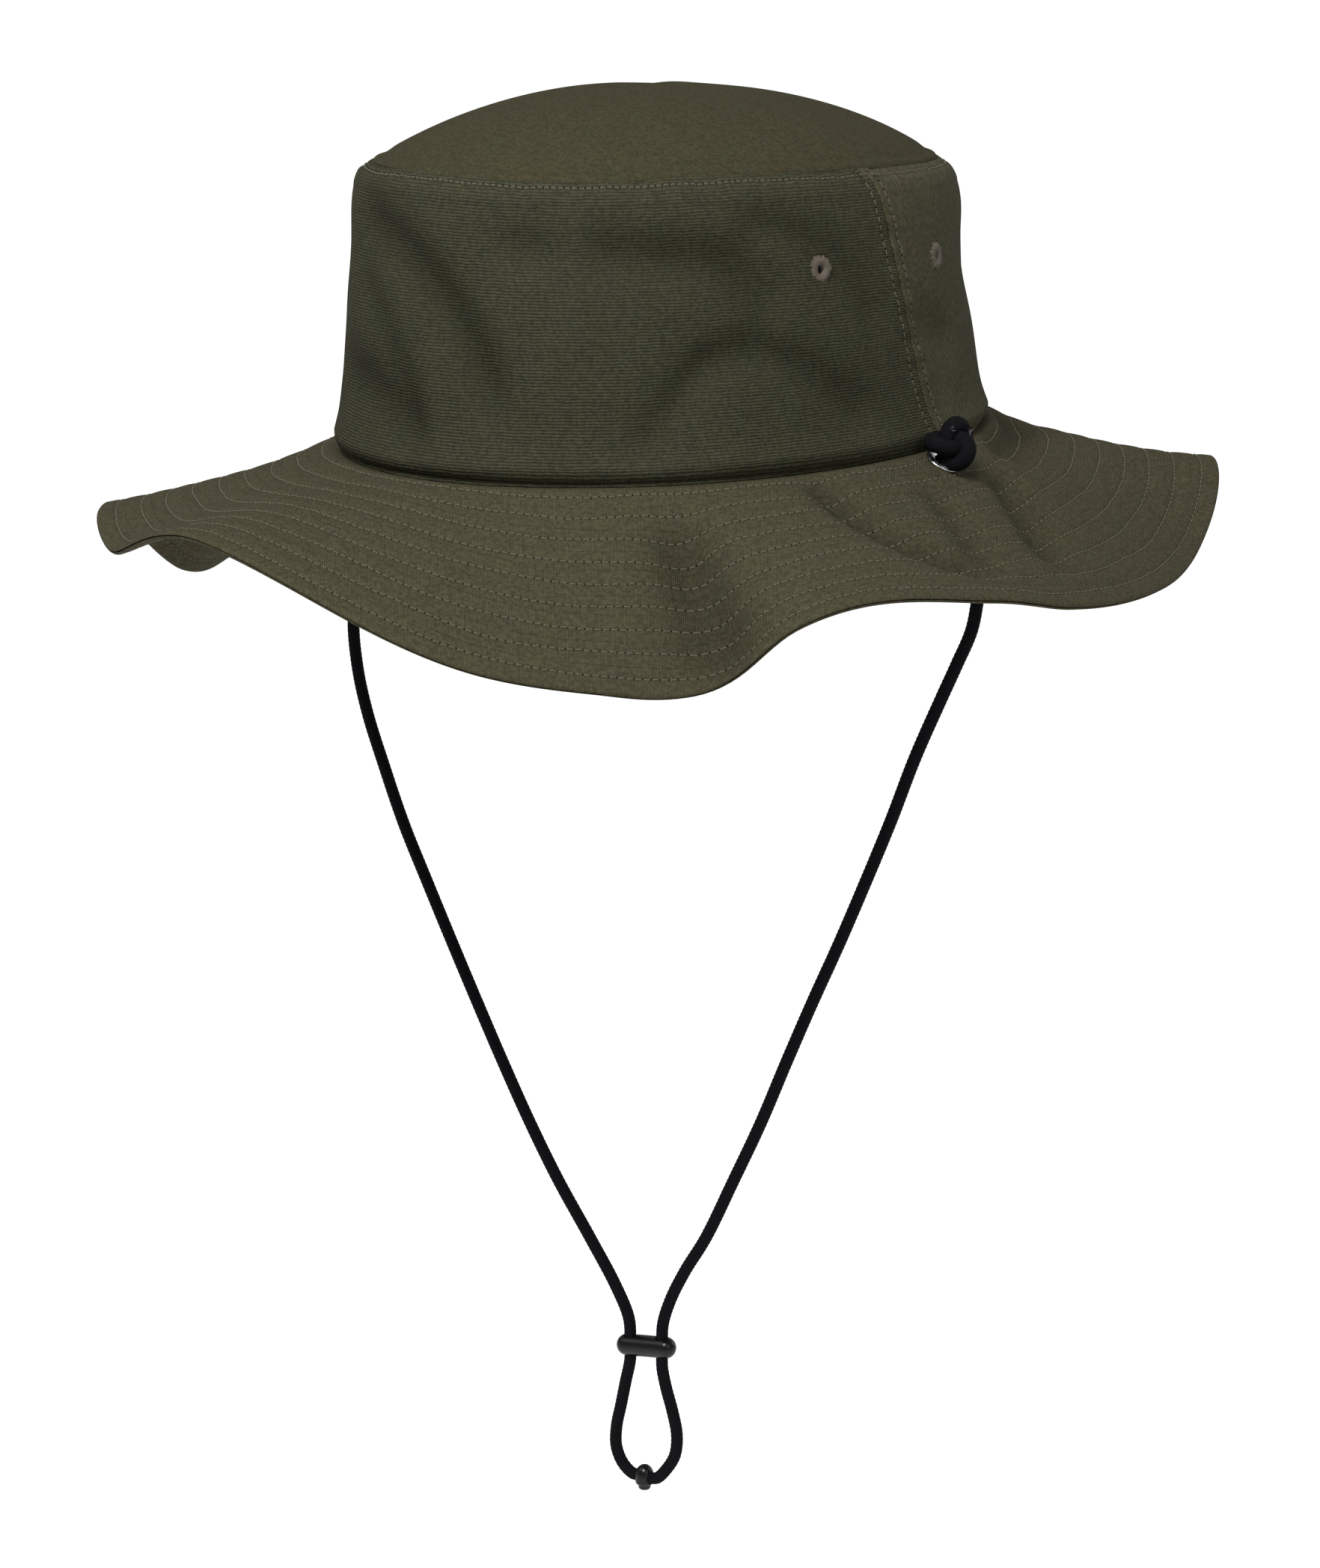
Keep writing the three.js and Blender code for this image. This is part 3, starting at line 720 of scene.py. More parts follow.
def twill_weave(u, v, unevenness, angle, pitch):
    """Height from 0 to 1 of a twill whose lines run at an angle in degrees."""
    cos, sin = math.cos(math.radians(angle)), math.sin(math.radians(angle))
    across = unevenness.scaled(0.4, v * cos - u * sin)
    return wave(across, pitch) * wave(u * cos + v * sin, pitch * 1.7).scaled(0.45, 0.55)


def needle_holes(tree, pitch):
    """Masks for painted shade: 1 in the needle holes along a row of stitching, and 1 along the row itself.
    """
    along, across = uv_parts(tree, "stitching")
    off = (along - along.calc("ROUND")) * pitch
    from_hole = (off * off + across * across).calc("SQRT")
    return from_hole.ranged(0.12, 0.42, 1, 0), across.calc("ABSOLUTE").ranged(0.1, 0.9, 1, 0)


def cloth_finish(name, colour, weave, relief, weave_shade, stitched=False):
    """Cotton with its weave, mottling and fuzz, and painted shade in the weave's hollows. weave makes a
    height
    from three numbers: u, v and unevenness. Stitched cloth also has painted shade in its needle holes,
    along its rows of stitching and along its deepest creases."""
    material, tree, shader = new_finish(name, 0.9, specular_ior_level=0.08)
    threads = weave(*uv_parts(tree, "weave"), noise(tree, 260, 1) - 0.5)
    fuzz, patches, slubs = noise(tree, 2600, 3), noise(tree, 160, 5), noise(tree, 900, 4)
    tints = [(1.025, 1.0, 0.975), (0.975, 1.0, 1.015)]
    brown, green = [tuple(c * f for c, f in zip(colour, tint)) + (1,) for tint in tints]
    # Painted shade of the weave's relief: its hollows darker and its raised threads lighter. Fuzz and slubs
    # vary the tone at random.
    light = threads.scaled(weave_shade, 1 - 0.5 * weave_shade) * fuzz.scaled(0.5, 0.75)
    light = light * slubs.ranged(0.3, 0.7, 0.78, 1.22)
    height = fuzz.scaled(0.05, threads * relief)
    if stitched:
        # Painted shade: darker in the needle holes and faintly along each row of stitching. The holes are
        # also dented by the bump.
        holes, line = needle_holes(tree, ROWS["pitch"])
        # Painted shade along the deepest creases: the deeper the crease, the darker the cloth.
        crease, _ = uv_parts(tree, "crease")
        light = light * holes.scaled(-0.72, 1) * line.scaled(-0.05, 1) * crease.scaled(-PAINTED_CREASE_SHADE, 1)
        height = holes.scaled(-0.3, height)
    tint = mix(tree, patches.ranged(0.36, 0.64, 0, 1), brown, green)
    feed(tree, shader.inputs["Base Color"], shade(tree, tint, light))
    bump(tree, shader, height)
    return material


def fibre_finish(name, colour, roughness, scale, depth, spread, **values):
    """Thread, cord or moulded plastic: one colour that varies a little, with fine relief."""
    material, tree, shader = new_finish(name, roughness, **values)
    grain = noise(tree, scale, 3)
    tone = grain.scaled(spread, 1 - spread / 2)
    feed(tree, shader.inputs["Base Color"], shade(tree, colour, tone))
    bump(tree, shader, grain * depth)
    return material


def metal_finish():
    """Nickel-plated brass with fine scratches and a little tarnish."""
    material, tree, shader = new_finish("nickel", 0.25, metallic=1)
    tarnish = noise(tree, 900, 4)
    tone = mix(tree, tarnish, (0.6, 0.6, 0.62, 1), (0.86, 0.86, 0.86, 1))
    feed(tree, shader.inputs["Base Color"], tone)
    feed(tree, shader.inputs["Roughness"], tarnish.ranged(0.3, 0.7, 0.16, 0.34))
    bump(tree, shader, noise(tree, 6000, 2) * 0.01)
    return material


def floor_finish():
    """Pale painted floor."""
    white = (1, 1, 1, 1)
    material, tree, shader = new_finish("floor_paint", 0.85, specular_ior_level=0.1, emission_color=white)
    feed(tree, shader.inputs["Emission Strength"], camera_sees(tree, 0.8, 0.3))
    paint = mix(tree, noise(tree, 30, 3), (0.86, 0.86, 0.86, 1), (0.9, 0.9, 0.9, 1))
    feed(tree, shader.inputs["Base Color"], paint)
    return material


def twill(angle, pitch):
    """A twill weave, as a finish takes it."""
    return lambda *places: twill_weave(*places, angle, pitch)


crown_cloth = cloth_finish("crown_duck", (0.0418, 0.0418, 0.0252), duck_weave, 0.2, 0.9, True)
side_cloth = cloth_finish("side_twill", (0.07, 0.0658, 0.0387), twill(-58, 0.55), 0.16, 0.8, True)
tip_cloth = cloth_finish("tip_twill", (0.05, 0.0456, 0.025), twill(52, 0.5), 0.12, 0.7)
brim_cloth = cloth_finish("brim_twill", (0.0635, 0.058, 0.034), twill(-55, 0.45), 0.12, 0.7, True)
lining_cloth = cloth_finish("lining", (0.07, 0.066, 0.045), twill(45, 0.6), 0.16, 0.5)
band_cloth = cloth_finish("sweatband_twill", (0.035, 0.033, 0.024), twill(40, 0.9), 0.15, 0.5)
label_cloth = cloth_finish("label_satin", (0.014, 0.014, 0.014), twill(0, 0.3), 0.05, 0.3)
DULL, SATIN = {"specular_ior_level": 0.1}, {"specular_ior_level": 0.32}
thread_finish = fibre_finish("sewing_thread", (0.108, 0.1, 0.07), 0.8, 3000, 0.05, 0.4, **DULL)
vent_finish = fibre_finish("vent_thread", (0.115, 0.098, 0.078), 0.8, 3200, 0.06, 1.0, **DULL)
cord_finish = fibre_finish("braided_cord", (0.0042, 0.0042, 0.0056), 0.9, 2600, 0.12, 0.9, **DULL)
fibre_tip_finish = fibre_finish("cut_fibres", (0.2, 0.2, 0.21), 0.6, 3000, 0.02, 0.4)
plastic_finish = fibre_finish("moulded_plastic", (0.0035, 0.0035, 0.0045), 0.24, 500, 0.01, 0.3, **SATIN)
nickel_finish = metal_finish()


# ---------- chin cord ----------
CORD_STEP = 0.35                 # distance between the rings of a cord


def length_along(path):
    """The length of a path up to each of its points."""
    return np.concatenate([[0], np.cumsum(np.linalg.norm(np.diff(path, axis=0), axis=1))])


def catmull(points):
    """Evenly spaced points on a centripetal Catmull-Rom curve through some points."""
    points = np.array(points, float)
    ends = [2 * points[0] - points[1], *points, 2 * points[-1] - points[-2]]
    pieces = []
    for before, start, stop, after in zip(ends[:-3], ends[1:-2], ends[2:-1], ends[3:]):
        pairs = ((before, start), (start, stop), (stop, after))
        knots = np.cumsum([0] + [np.linalg.norm(b - a) ** 0.5 for a, b in pairs])
        t = np.linspace(knots[1], knots[2], 40, endpoint=False)[:, None]

        def between(a, b, i, j):
            return a + (b - a) * (t - knots[i]) / (knots[j] - knots[i])

        first, second, third = [between(*pair, k, k + 1) for k, pair in enumerate(pairs)]
        pieces.append(between(between(first, second, 0, 2), between(second, third, 1, 3), 1, 2))
    dense = np.concatenate([*pieces, points[-1:]])
    length = length_along(dense)
    at = np.linspace(0, length[-1], max(8, int(round(length[-1] / CORD_STEP)) + 1))
    return np.stack([np.interp(at, length, dense[:, k]) for k in range(3)], -1)


def in_plane(points):
    return [np.array([x, 0, z], float) for x, z in points]


def eyelet_place(side):
    """The point of the brim's upper surface at an eyelet, and the normal there."""
    angle, reach = np.array(float(SIDES[side]["angle"])), np.array(EYELET["slant"])
    return brim_sheet(angle, reach), normal(brim_sheet, angle, reach)


def pivot_of(side):
    point, up = eyelet_place(side)
    return point + up * (PIVOT_Z - point[2]) / up[2]


def braid_radius(path, sides):
    """Radius of a braided cord per ring and side: strands that cross both ways round it."""
    strands, lay = 8, 1.45
    along = length_along(path)[:, None]
    round_it = np.arange(sides)[None] * strands / sides
    crossing = np.cos(np.pi * (round_it + along / lay)) * np.cos(np.pi * (round_it - along / lay))
    return CORD - 0.04 + 0.18 * np.sqrt(abs(crossing))


def cord_piece(name, path, far_end, *with_pieces):
    """A length of the braided cord, at its real size."""
    sides = 32
    braid = tube(path, sides, braid_radius(path, sides), (0, 1, 0))
    piece = mesh_object(name, *braid, cord_finish, crease=180)
    tuple(path[0] * MM)
    (path * MM).tolist()
    return piece


STUB_POINTS = 3                  # how many points of a leg's route the stub takes
SLIDER_TILT = math.radians(7)
KNOT_SETTLE = 1.4                # how far the knot sinks on to the eyelet


def knot_centre(side):
    point, up = eyelet_place(side)
    return point + up * (EYELET["seat"] + EYELET["flange"] + LAYER_ROOM + KNOT_ALONG)


def add_stub(side, knot):
    """From the knot down through the eyelet to where the cord hangs free."""
    below = in_plane(LEG_ROUTES[side][:STUB_POINTS])
    path = catmull([knot_centre(side), pivot_of(side), *below])
    stub = cord_piece(f"cord_stub_{side}", path, "object", knot)
    top, bottom = pivot_of(side) + [0, 0, 3], pivot_of(side) - [0, 0, 7]
    tuple(top * MM)
    tuple(bottom * MM)
    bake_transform(stub)
    dress(stub, None, "cord", f"cord_knot_{side}")


def slider_hole(side):
    return SLIDER["x"] + SIDES[side]["sign"] * SLIDER["hole_spacing"] / 2


def add_leg(side, slider):
    """From where the cord hangs free to the slider."""
    route = LEG_ROUTES[side][STUB_POINTS - 1:]
    path = catmull(in_plane([*route, [slider_hole(side), SLIDER["z"]]]))
    leg = cord_piece(f"cord_leg_{side}_braid", path, "object", slider)
    tuple(path[0] * MM)
    tuple(path[-1] * MM)
    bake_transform(leg)
    dress(leg, None, "cord", f"cord_leg_{side}")


def add_loop(side, bead):
    """From the slider to the middle of the bead."""
    route = [[slider_hole(side), SLIDER["z"]], *LOOP_ROUTES[side], [BEAD["x"], BEAD["z"]]]
    path = catmull(in_plane(route))
    loop = cord_piece(f"cord_loop_{side}_braid", path, "fitting", bead)
    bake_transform(loop)
    dress(loop, None, "cord", f"cord_loop_{side}")


def add_knot(side):
    """An overhand knot that rests on the eyelet, with the frayed fibres of its cut end."""
    centre = knot_centre(side) - eyelet_place(side)[1] * KNOT_SETTLE
    sign = SIDES[side]["sign"]
    facing = unit(np.array([sign * 0.56, -0.56, 0.6]))
    level = unit(np.cross([0, 0, 1], facing))
    upward = np.cross(facing, level)
    t = np.linspace(0, 2 * np.pi, 240, endpoint=False)
    size, depth, lobe_turn = 1.85, 2.1, math.radians(24)
    x, y = size * (np.sin(t) + 2 * np.sin(2 * t)), size * (np.cos(t) - 2 * np.cos(2 * t))
    cos, sin = math.cos(lobe_turn), math.sin(lobe_turn)
    x, y, z = x * cos - y * sin, x * sin + y * cos, -depth * np.sin(3 * t)
    path = centre + x[:, None] * level + y[:, None] * upward + z[:, None] * facing
    sides, fluffed, unevenness = 28, 0.55, 0.1 * np.sin(5 * t)[:, None]
    radius = braid_radius(path, sides) + fluffed + unevenness
    points, faces = tube(path, sides, radius, facing, closed=True)
    knot = mesh_object(f"cord_knot_{side}_overhand", points, faces, cord_finish, crease=180)
    dress(knot, "hat", "cord")
    fibres = []
    draw = np.random.default_rng(7 if sign > 0 else 8)
    for spot in ((-0.6, 2.6, 3.6), (4.4, 1.7, 3.4)):
        root = centre + spot[0] * level + spot[1] * upward + spot[2] * facing
        for _ in range(9):
            lean = draw.normal(0, 0.55, 3)
            tip = root + unit(facing + lean) * draw.uniform(0.8, 1.7)
            bend = (root + tip) / 2 + draw.normal(0, 0.18, 3)
            fibres.append(tube([root, bend, tip], 4, 0.06, level))
    frayed = mesh_object(f"cord_knot_{side}_fibres", *merged(fibres), fibre_tip_finish)
    dress(frayed, "hat", "cord")
    return knot


def carve(piece, tools):
    """Cuts closed meshes out of a piece."""
    for tool in tools:
        cut = piece.modifiers.new("cut", "BOOLEAN")
        cut.operation = "DIFFERENCE"
        cut.solver = "EXACT"
        cut.object = tool
    evaluated = piece.evaluated_get(bpy.context.evaluated_depsgraph_get())
    piece.data = bpy.data.meshes.new_from_object(evaluated)
    piece.modifiers.clear()
    for tool in tools:
        bpy.data.objects.remove(tool)
    piece.data.polygons.foreach_set("use_smooth", np.ones(len(piece.data.polygons), bool))
    piece.data.set_sharp_from_angle(angle=math.radians(35))


def drill(centre, axis, radius):
    centre, axis, reach = np.array(centre, float), unit(np.array(axis, float)), 8
    path = [centre - axis * reach, centre + axis * reach]
    across = (0, 1, 0) if abs(axis[1]) < 0.9 else (1, 0, 0)
    return mesh_object("drill", *tube(path, 32, radius, across), plastic_finish)


def round_bar(centre, axis, places, radii, across, segments):
    """A solid turned round an axis, from places along it and the radius at each, closed at both ends."""
    path = np.array(centre, float) + np.array(places)[:, None] * np.array(axis, float)
    return tube(path, segments, np.array(radii)[:, None], across)


def add_slider():
    """A bar with round ends and two holes, tilted a little on its cords."""
    radius, steps = SLIDER["radius"], 12
    turn = np.linspace(0.06, np.pi / 2, steps)
    cap_along, cap_radius = radius * np.cos(turn), radius * np.sin(turn)
    straight = SLIDER["length"] / 2 - radius
    middle = np.linspace(-straight, straight, steps + 2)[1:-1]
    along = np.concatenate([-straight - cap_along, middle, straight + cap_along[::-1]])
    radii = np.concatenate([cap_radius, np.full(steps, radius), cap_radius[::-1]])
    centre = (SLIDER["x"], 0, SLIDER["z"])
    axis = (math.cos(SLIDER_TILT), 0, math.sin(SLIDER_TILT))
    bar = round_bar(centre, axis, along, radii, (0, 1, 0), 48)
    slider = mesh_object("cord_slider_moulding", *bar, plastic_finish)
    holes = [drill((slider_hole(side), 0, SLIDER["z"]), (0, 0, 1), SLIDER["bore"]) for side in SIDES]
    carve(slider, holes)
    return dress(slider, "slider", "moulding", "cord_slider")


def add_bead():
    """An acorn-shaped end bead: a round cap over a narrower nub, with the cord through it."""
    profile = np.array([
        [0.25, -3.9], [1.2, -3.85], [1.65, -3.6], [1.85, -3.1], [1.9, -2.6], [2.0, -2.3], [2.5, -2.05],
        [2.72, -1.6], [2.78, -0.6], [2.78, 0.5], [2.65, 1.5], [2.3, 2.4], [1.75, 3.1], [1.1, 3.6],
        [0.3, 3.85],
    ])
    knots = np.arange(len(profile), dtype=float)
    at = np.linspace(0, len(profile) - 1, 57)
    radii, along = [smooth_curve(knots, values, at) for values in profile.T]
    centre = (BEAD["x"], 0, BEAD["z"])
    turned = round_bar(centre, (0, 0, 1), along, radii, (1, 0, 0), 40)
    bead = mesh_object("cord_bead_moulding", *turned, plastic_finish)
    carve(bead, [drill(centre, (1, 0, 0), BEAD["bore"] - 0.15)])
    return dress(bead, "chin_cord", "moulding", "cord_bead")


# ---------- stitching ----------
ARCH = np.array([[0.06, -1.3], [0.2, 0.35], [0.5, 0.75], [0.8, 0.35], [0.94, -1.3]])


def stitch_mesh(centres, ups, radius):
    """Short bent rods through centres [stitch, point, xyz], round in section and thinner at their ends."""
    sides, thinner = 6, np.array([0.7, 1, 1, 1, 0.7])[None, :, None, None]
    ahead = unit(np.gradient(centres, axis=1))
    aside = unit(np.cross(ahead, ups))
    spokes = ring_spokes(sides, aside[:, :, None], np.cross(aside, ahead)[:, :, None])
    rings = centres[:, :, None] + spokes * radius * thinner
    count, rows = centres.shape[:2]
    one = np.concatenate([ring_quads(rows, sides), fan(sides), fan(sides)[:, ::-1] + (rows - 1) * sides])
    faces = one[None] + (np.arange(count) * rows * sides)[:, None, None]
    return rings.reshape(-1, 3), faces.reshape(-1, 4)


def sewn_row(surface, relief, row, seed, side=1, radius=THREAD):
    """One row of stitches on a surface: row.line gives its coordinates at a place from 0 to row.count."""
    jitter = np.random.default_rng(seed).normal(0, 0.05, (row.count, 1))
    u, v = row.line(np.arange(row.count)[:, None] + ARCH[None, :, 0])
    height = relief(u, v) + side * radius * ARCH[None, :, 1]
    centres = lifted(surface, u, v + jitter, height)
    return stitch_mesh(centres, side * normal(surface, u, v), radius)


def add_stitching(name, sewn):
    dress(mesh_object(name, *merged(sewn), thread_finish, crease=60), "hat", "thread")


class Row:
    """A row of stitching right round the hat, or part of the way, at even spacing along the cloth."""

    def __init__(self, surface, across, start, stop, pitch):
        self.across = across
        self.angles = np.linspace(start, stop, 1441)
        length = length_along(surface(self.angles, across(self.angles)))
        self.count = int(round(length[-1] / pitch))
        self.places = length / length[-1] * self.count

    def line(self, at):
        angle = np.interp(at, self.places, self.angles)
        return angle, self.across(angle)

    def place(self, angle):
        return np.interp(angle, self.angles, self.places)


def wall_row(height, pitch, start, stop):
    """A level row on the crown's wall."""
    return Row(crown_wall, lambda angle: np.full(np.shape(angle), height), start, stop, pitch)


def tip_row():
    """The row under the tip's seam, right round the crown."""
    start = TIP_STITCHES["start"]
    return wall_row(TIP_ROW, TIP_STITCHES["pitch"], start, start + 360)


# ---------- brim ----------
# For the upper and for the lower ply: the seed of its puckers, and how many columns of points it has.
PLY_SEEDS = {True: 31, False: 32}
PLY_COLUMNS = {True: 454, False: 520}


def brim_rows():
    return [
        Row(brim_sheet, lambda angle, k=k: row_reach(k, angle), 0, 360, ROWS["pitch"])
        for k in range(ROWS["count"])
    ]


def reach_levels(fine):
    """Distances out from the crown at which the brim has points: closer together along the stitching."""
    beside = (-1.5, -0.9, -0.45, 0, 0.45, 0.9, 1.5) if fine else (-1.2, -0.4, 0.4, 1.2)
    rows = ROWS["first"] + ROWS["spacing"] * np.arange(ROWS["count"])
    levels = [-SEAM_ALLOWANCE["reach"], -3, -SEAM_ALLOWANCE["turn"], -1.2, 0, 1.2, 2.4]
    levels += [middle + offset for middle in rows for offset in (*beside, 2.7, 3.8, 4.9)]
    fold = BRIM_SLANT - EDGE_ROLL
    return np.array(sorted(level for level in levels if level < fold - 0.6) + [fold])


def clear_of_eyelets(angle, reach):
    """Which faces of a brim grid are clear of the two eyelets."""
    points, clear = brim_sheet(*face_middles(angle, reach)), EYELET["barrel"] + GAP
    return np.all([np.linalg.norm(points - eyelet_place(side)[0], axis=-1) > clear for side in SIDES], 0)


def brim_angles(count):
    """Angles round the brim, closer together at the eyelets so that their holes are round."""
    even = np.arange(count) * 360 / count
    eyelets = [place["angle"] for place in SIDES.values()]
    near = np.concatenate([angle + np.linspace(-3, 3, 21) for angle in eyelets]) % 360
    clear = [a for a in even if min(abs(folded_angle(a - angle)) for angle in eyelets) > 3.2]
    return np.array(sorted([*clear, *near]))


def brim_profile(levels, inner):
    """Distance out and depth for the outer or the inner face of a ply, with the fold at its edge."""
    radius = EDGE_ROLL - (PLY if inner else 0)
    turn = np.linspace(0, np.pi / 2, 7)[1:]
    middle = BRIM_SLANT - EDGE_ROLL
    out = np.concatenate([levels, middle + radius * np.sin(turn)])
    depth = np.concatenate([np.full(len(levels), PLY if inner else 0.0), EDGE_ROLL - radius * np.cos(turn)])
    return out, depth


def flat_pattern(angle, reach):
    """Where a point of the brim lies on the flat cloth it was cut from."""
    start, outward = brim_oval(angle)
    return start + outward * reach[..., None]


def seam_places(rows, angle, reach):
    """Place along the nearest row of the brim, in stitches, and distance from it in mm."""
    row, off = from_row(angle, reach)
    along = np.stack([r.place(angle) for r in rows])
    return np.stack([np.take_along_axis(along, row[None], 0)[0], off], -1)


def add_brim_ply(name, node_name, rows, upper):
    levels, angles = reach_levels(upper), brim_angles(PLY_COLUMNS[upper])
    outer_out, outer_depth = brim_profile(levels, False)
    inner_out, inner_depth = brim_profile(levels, True)

    def face(out, depth, share):
        a, r = np.meshgrid(angles, out, indexing="ij")
        puff = quilting(a, r, PLY_SEEDS[upper]) * share * np.clip((BRIM_SLANT - 1 - r) / 2, 0, 1)
        sway = brim_sway(a, np.minimum(r, BRIM_SLANT))
        return lifted(brim_sheet, a, r, sway - depth + puff if upper else sway - BRIM_STACK + depth - puff)

    both_faces = face(outer_out, outer_depth, 1), face(inner_out, inner_depth, 0.3)
    a, r = closed_grid(angles, outer_out)
    maps = {
        "weave": flat_pattern(a, r), "stitching": seam_places(rows, a, r),
        "crease": crease_shade_map(brim_folds(a, r)),
    }
    layout = {"closed": True, "solid": clear_of_eyelets(a, r), "flipped": upper}
    cloth_piece(name, node_name, both_faces, brim_cloth, "canvas", maps, **layout)


def add_interlining():
    angles = brim_angles(300)
    levels = np.linspace(0, BRIM_SLANT - EDGE_ROLL - 1.2, 24)
    levels = np.sort(np.append(levels, EYELET["slant"] + np.array([-2.4, -0.8, 0.8])))
    a, r = np.meshgrid(angles, levels, indexing="ij")
    both_faces = two_faces(brim_sheet, a, r, brim_sway(a, r) - PLY - GAP, INTERLINING)
    closed = closed_grid(angles, levels)
    layout = {"closed": True, "solid": clear_of_eyelets(*closed), "flipped": True}
    maps = {"weave": flat_pattern(*closed)}
    name = "brim_interlining"
    cloth_piece(name + "_felt", name, both_faces, lining_cloth, "lining", maps, **layout)


def add_quilting(name, rows, upper):
    """The rows of stitching on one face of the brim."""
    def relief(angle, reach):
        puff = quilting(angle, reach, PLY_SEEDS[upper])
        sway = brim_sway(angle, reach)
        return sway + puff if upper else sway - BRIM_STACK - puff

    side = 1 if upper else -1
    sewn = [sewn_row(brim_sheet, relief, row, 60 + k, side) for k, row in enumerate(rows)]
    add_stitching(name, sewn)


def add_brim():
    rows = brim_rows()
    add_brim_ply("brim_upper_cloth", "brim_upper_ply", rows, True)
    add_brim_ply("brim_lower_cloth", "brim_lower_ply", rows, False)
    add_interlining()
    add_quilting("brim_quilting_top", rows, True)
    add_quilting("brim_quilting_under", rows, False)


# ---------- crown ----------
def wall_levels():
    """Heights at which the wall has points: closer together at the brim and at the tip."""
    low = np.array([-1.5, -0.7, 0, 0.35, 0.7, 1.1, 1.6])
    middle = np.linspace(2.3, 66, 82)
    high = np.linspace(66.6, CROWN_HEIGHT, 20)
    return np.concatenate([low, middle, high])


def panel_grid(start_seam, stop_seam, levels, count):
    """Angles and heights across a panel between two seams: columns closer together at the seams."""
    margin = math.degrees(GAP / 2 / CROWN_BASE[0])
    near = margin + np.array([0, 0.15, 0.35, 0.6, 0.9, 1.2, 1.5, 1.75, 1.95, 2.2, 2.5, 2.8, 3.1])
    start, stop, sparse_from = start_seam(levels), stop_seam(levels), 3.6
    share = np.linspace(0, 1, count)[:, None]
    middle = (start + sparse_from) * (1 - share) + (stop - sparse_from) * share
    angles = np.concatenate([start + near[:, None], middle, stop - near[::-1, None]])
    return angles, np.broadcast_to(levels, angles.shape)


class SideRow:
    """A row of stitching up a side seam, on the side of the larger angle or, if side is -1, the other."""
    low, high = 2.6, TIP_ROW - 1.6
    count = int(round((high - low) / ROWS["pitch"]))

    def __init__(self, seam, side):
        self.seam, self.side = seam, side

    def line(self, at):
        height = self.low + (self.high - self.low) * at / self.count
        off = SEAM_ROW + 0.15 * np.sin(height / 7)
        return self.seam(height) + self.side * off / WALL_MM_PER_DEGREE, height


def wall_seam_places(angle, height):
    """Place along the nearest row of the wall's stitching, and distance from it."""
    beside = abs(from_seam(angle, height)) - SEAM_ROW
    off_tip = height - TIP_ROW
    start = TIP_STITCHES["start"]
    along_tip = tip_row().place((angle - start) % 360 + start)
    along_side = (height - SideRow.low) / (SideRow.high - SideRow.low) * SideRow.count
    near_tip = abs(off_tip) < abs(beside)
    return np.stack([np.where(near_tip, along_tip, along_side), np.where(near_tip, off_tip, beside)], -1)


def vent_places():
    """Each vent's point on the wall's outer face and the way out from there, by its node's name."""
    places = {}
    for side, sign in (("left", -1), ("right", 1)):
        for name, offset in (("front", VENT["to_front"]), ("rear", -VENT["to_rear"])):
            height = np.array(float(VENT["height"]))
            angle = SEAMS[side](height) + sign * offset
            point = lifted(crown_wall, angle, height, wall_relief(angle, height))
            places[f"vent_{side}_{name}"] = (point, normal(crown_wall, angle, height))
    return places


def add_panel(name, node_name, start_seam, stop_seam, material):
    a, h = panel_grid(start_seam, stop_seam, wall_levels(), 300)
    both_faces = two_faces(crown_wall, a, h, wall_relief(a, h), CANVAS)
    points = lifted(crown_wall, *face_middles(a, h), 0)
    hole = VENT["barrel"] + GAP + 0.6
    clear = [np.linalg.norm(points - vent, axis=-1) > hole for vent, _ in vent_places().values()]
    maps = {
        "weave": np.stack([a * WALL_MM_PER_DEGREE, h], -1), "stitching": wall_seam_places(a, h),
        "crease": crease_shade_map(wall_dents(a, h)),
    }
    cloth_piece(name, node_name, both_faces, material, "canvas", maps, solid=np.all(clear, 0))


def add_tip():
    angles, rim = np.arange(360) * 1.0, TIP_HALF[0]
    radii = np.concatenate([np.linspace(0.03, rim - 7, 60), rim - np.linspace(6.4, 0, 22)])
    a, r = np.meshgrid(angles, radii, indexing="ij")
    both_faces = two_faces(crown_tip, a, r, tip_relief(a, r), CANVAS)
    a, r = closed_grid(angles, radii)
    a = np.radians(a)
    maps = {"weave": np.stack([r * np.cos(a), r * np.sin(a) * TIP_HALF[1] / rim], -1)}
    layout = {"closed": True, "flipped": True}
    cloth_piece("crown_tip_cloth", "crown_tip", both_faces, tip_cloth, "canvas", maps, **layout)


def add_crown_stitching():
    add_stitching("tip_seam_stitching", [sewn_row(crown_wall, wall_relief, tip_row(), 81, 1, THREAD * 1.1)])
    for side, seam in SEAMS.items():
        sewn = [sewn_row(crown_wall, wall_relief, SideRow(seam, beside), 90 + beside) for beside in (-1, 1)]
        add_stitching(f"side_seam_stitching_{side}", sewn)


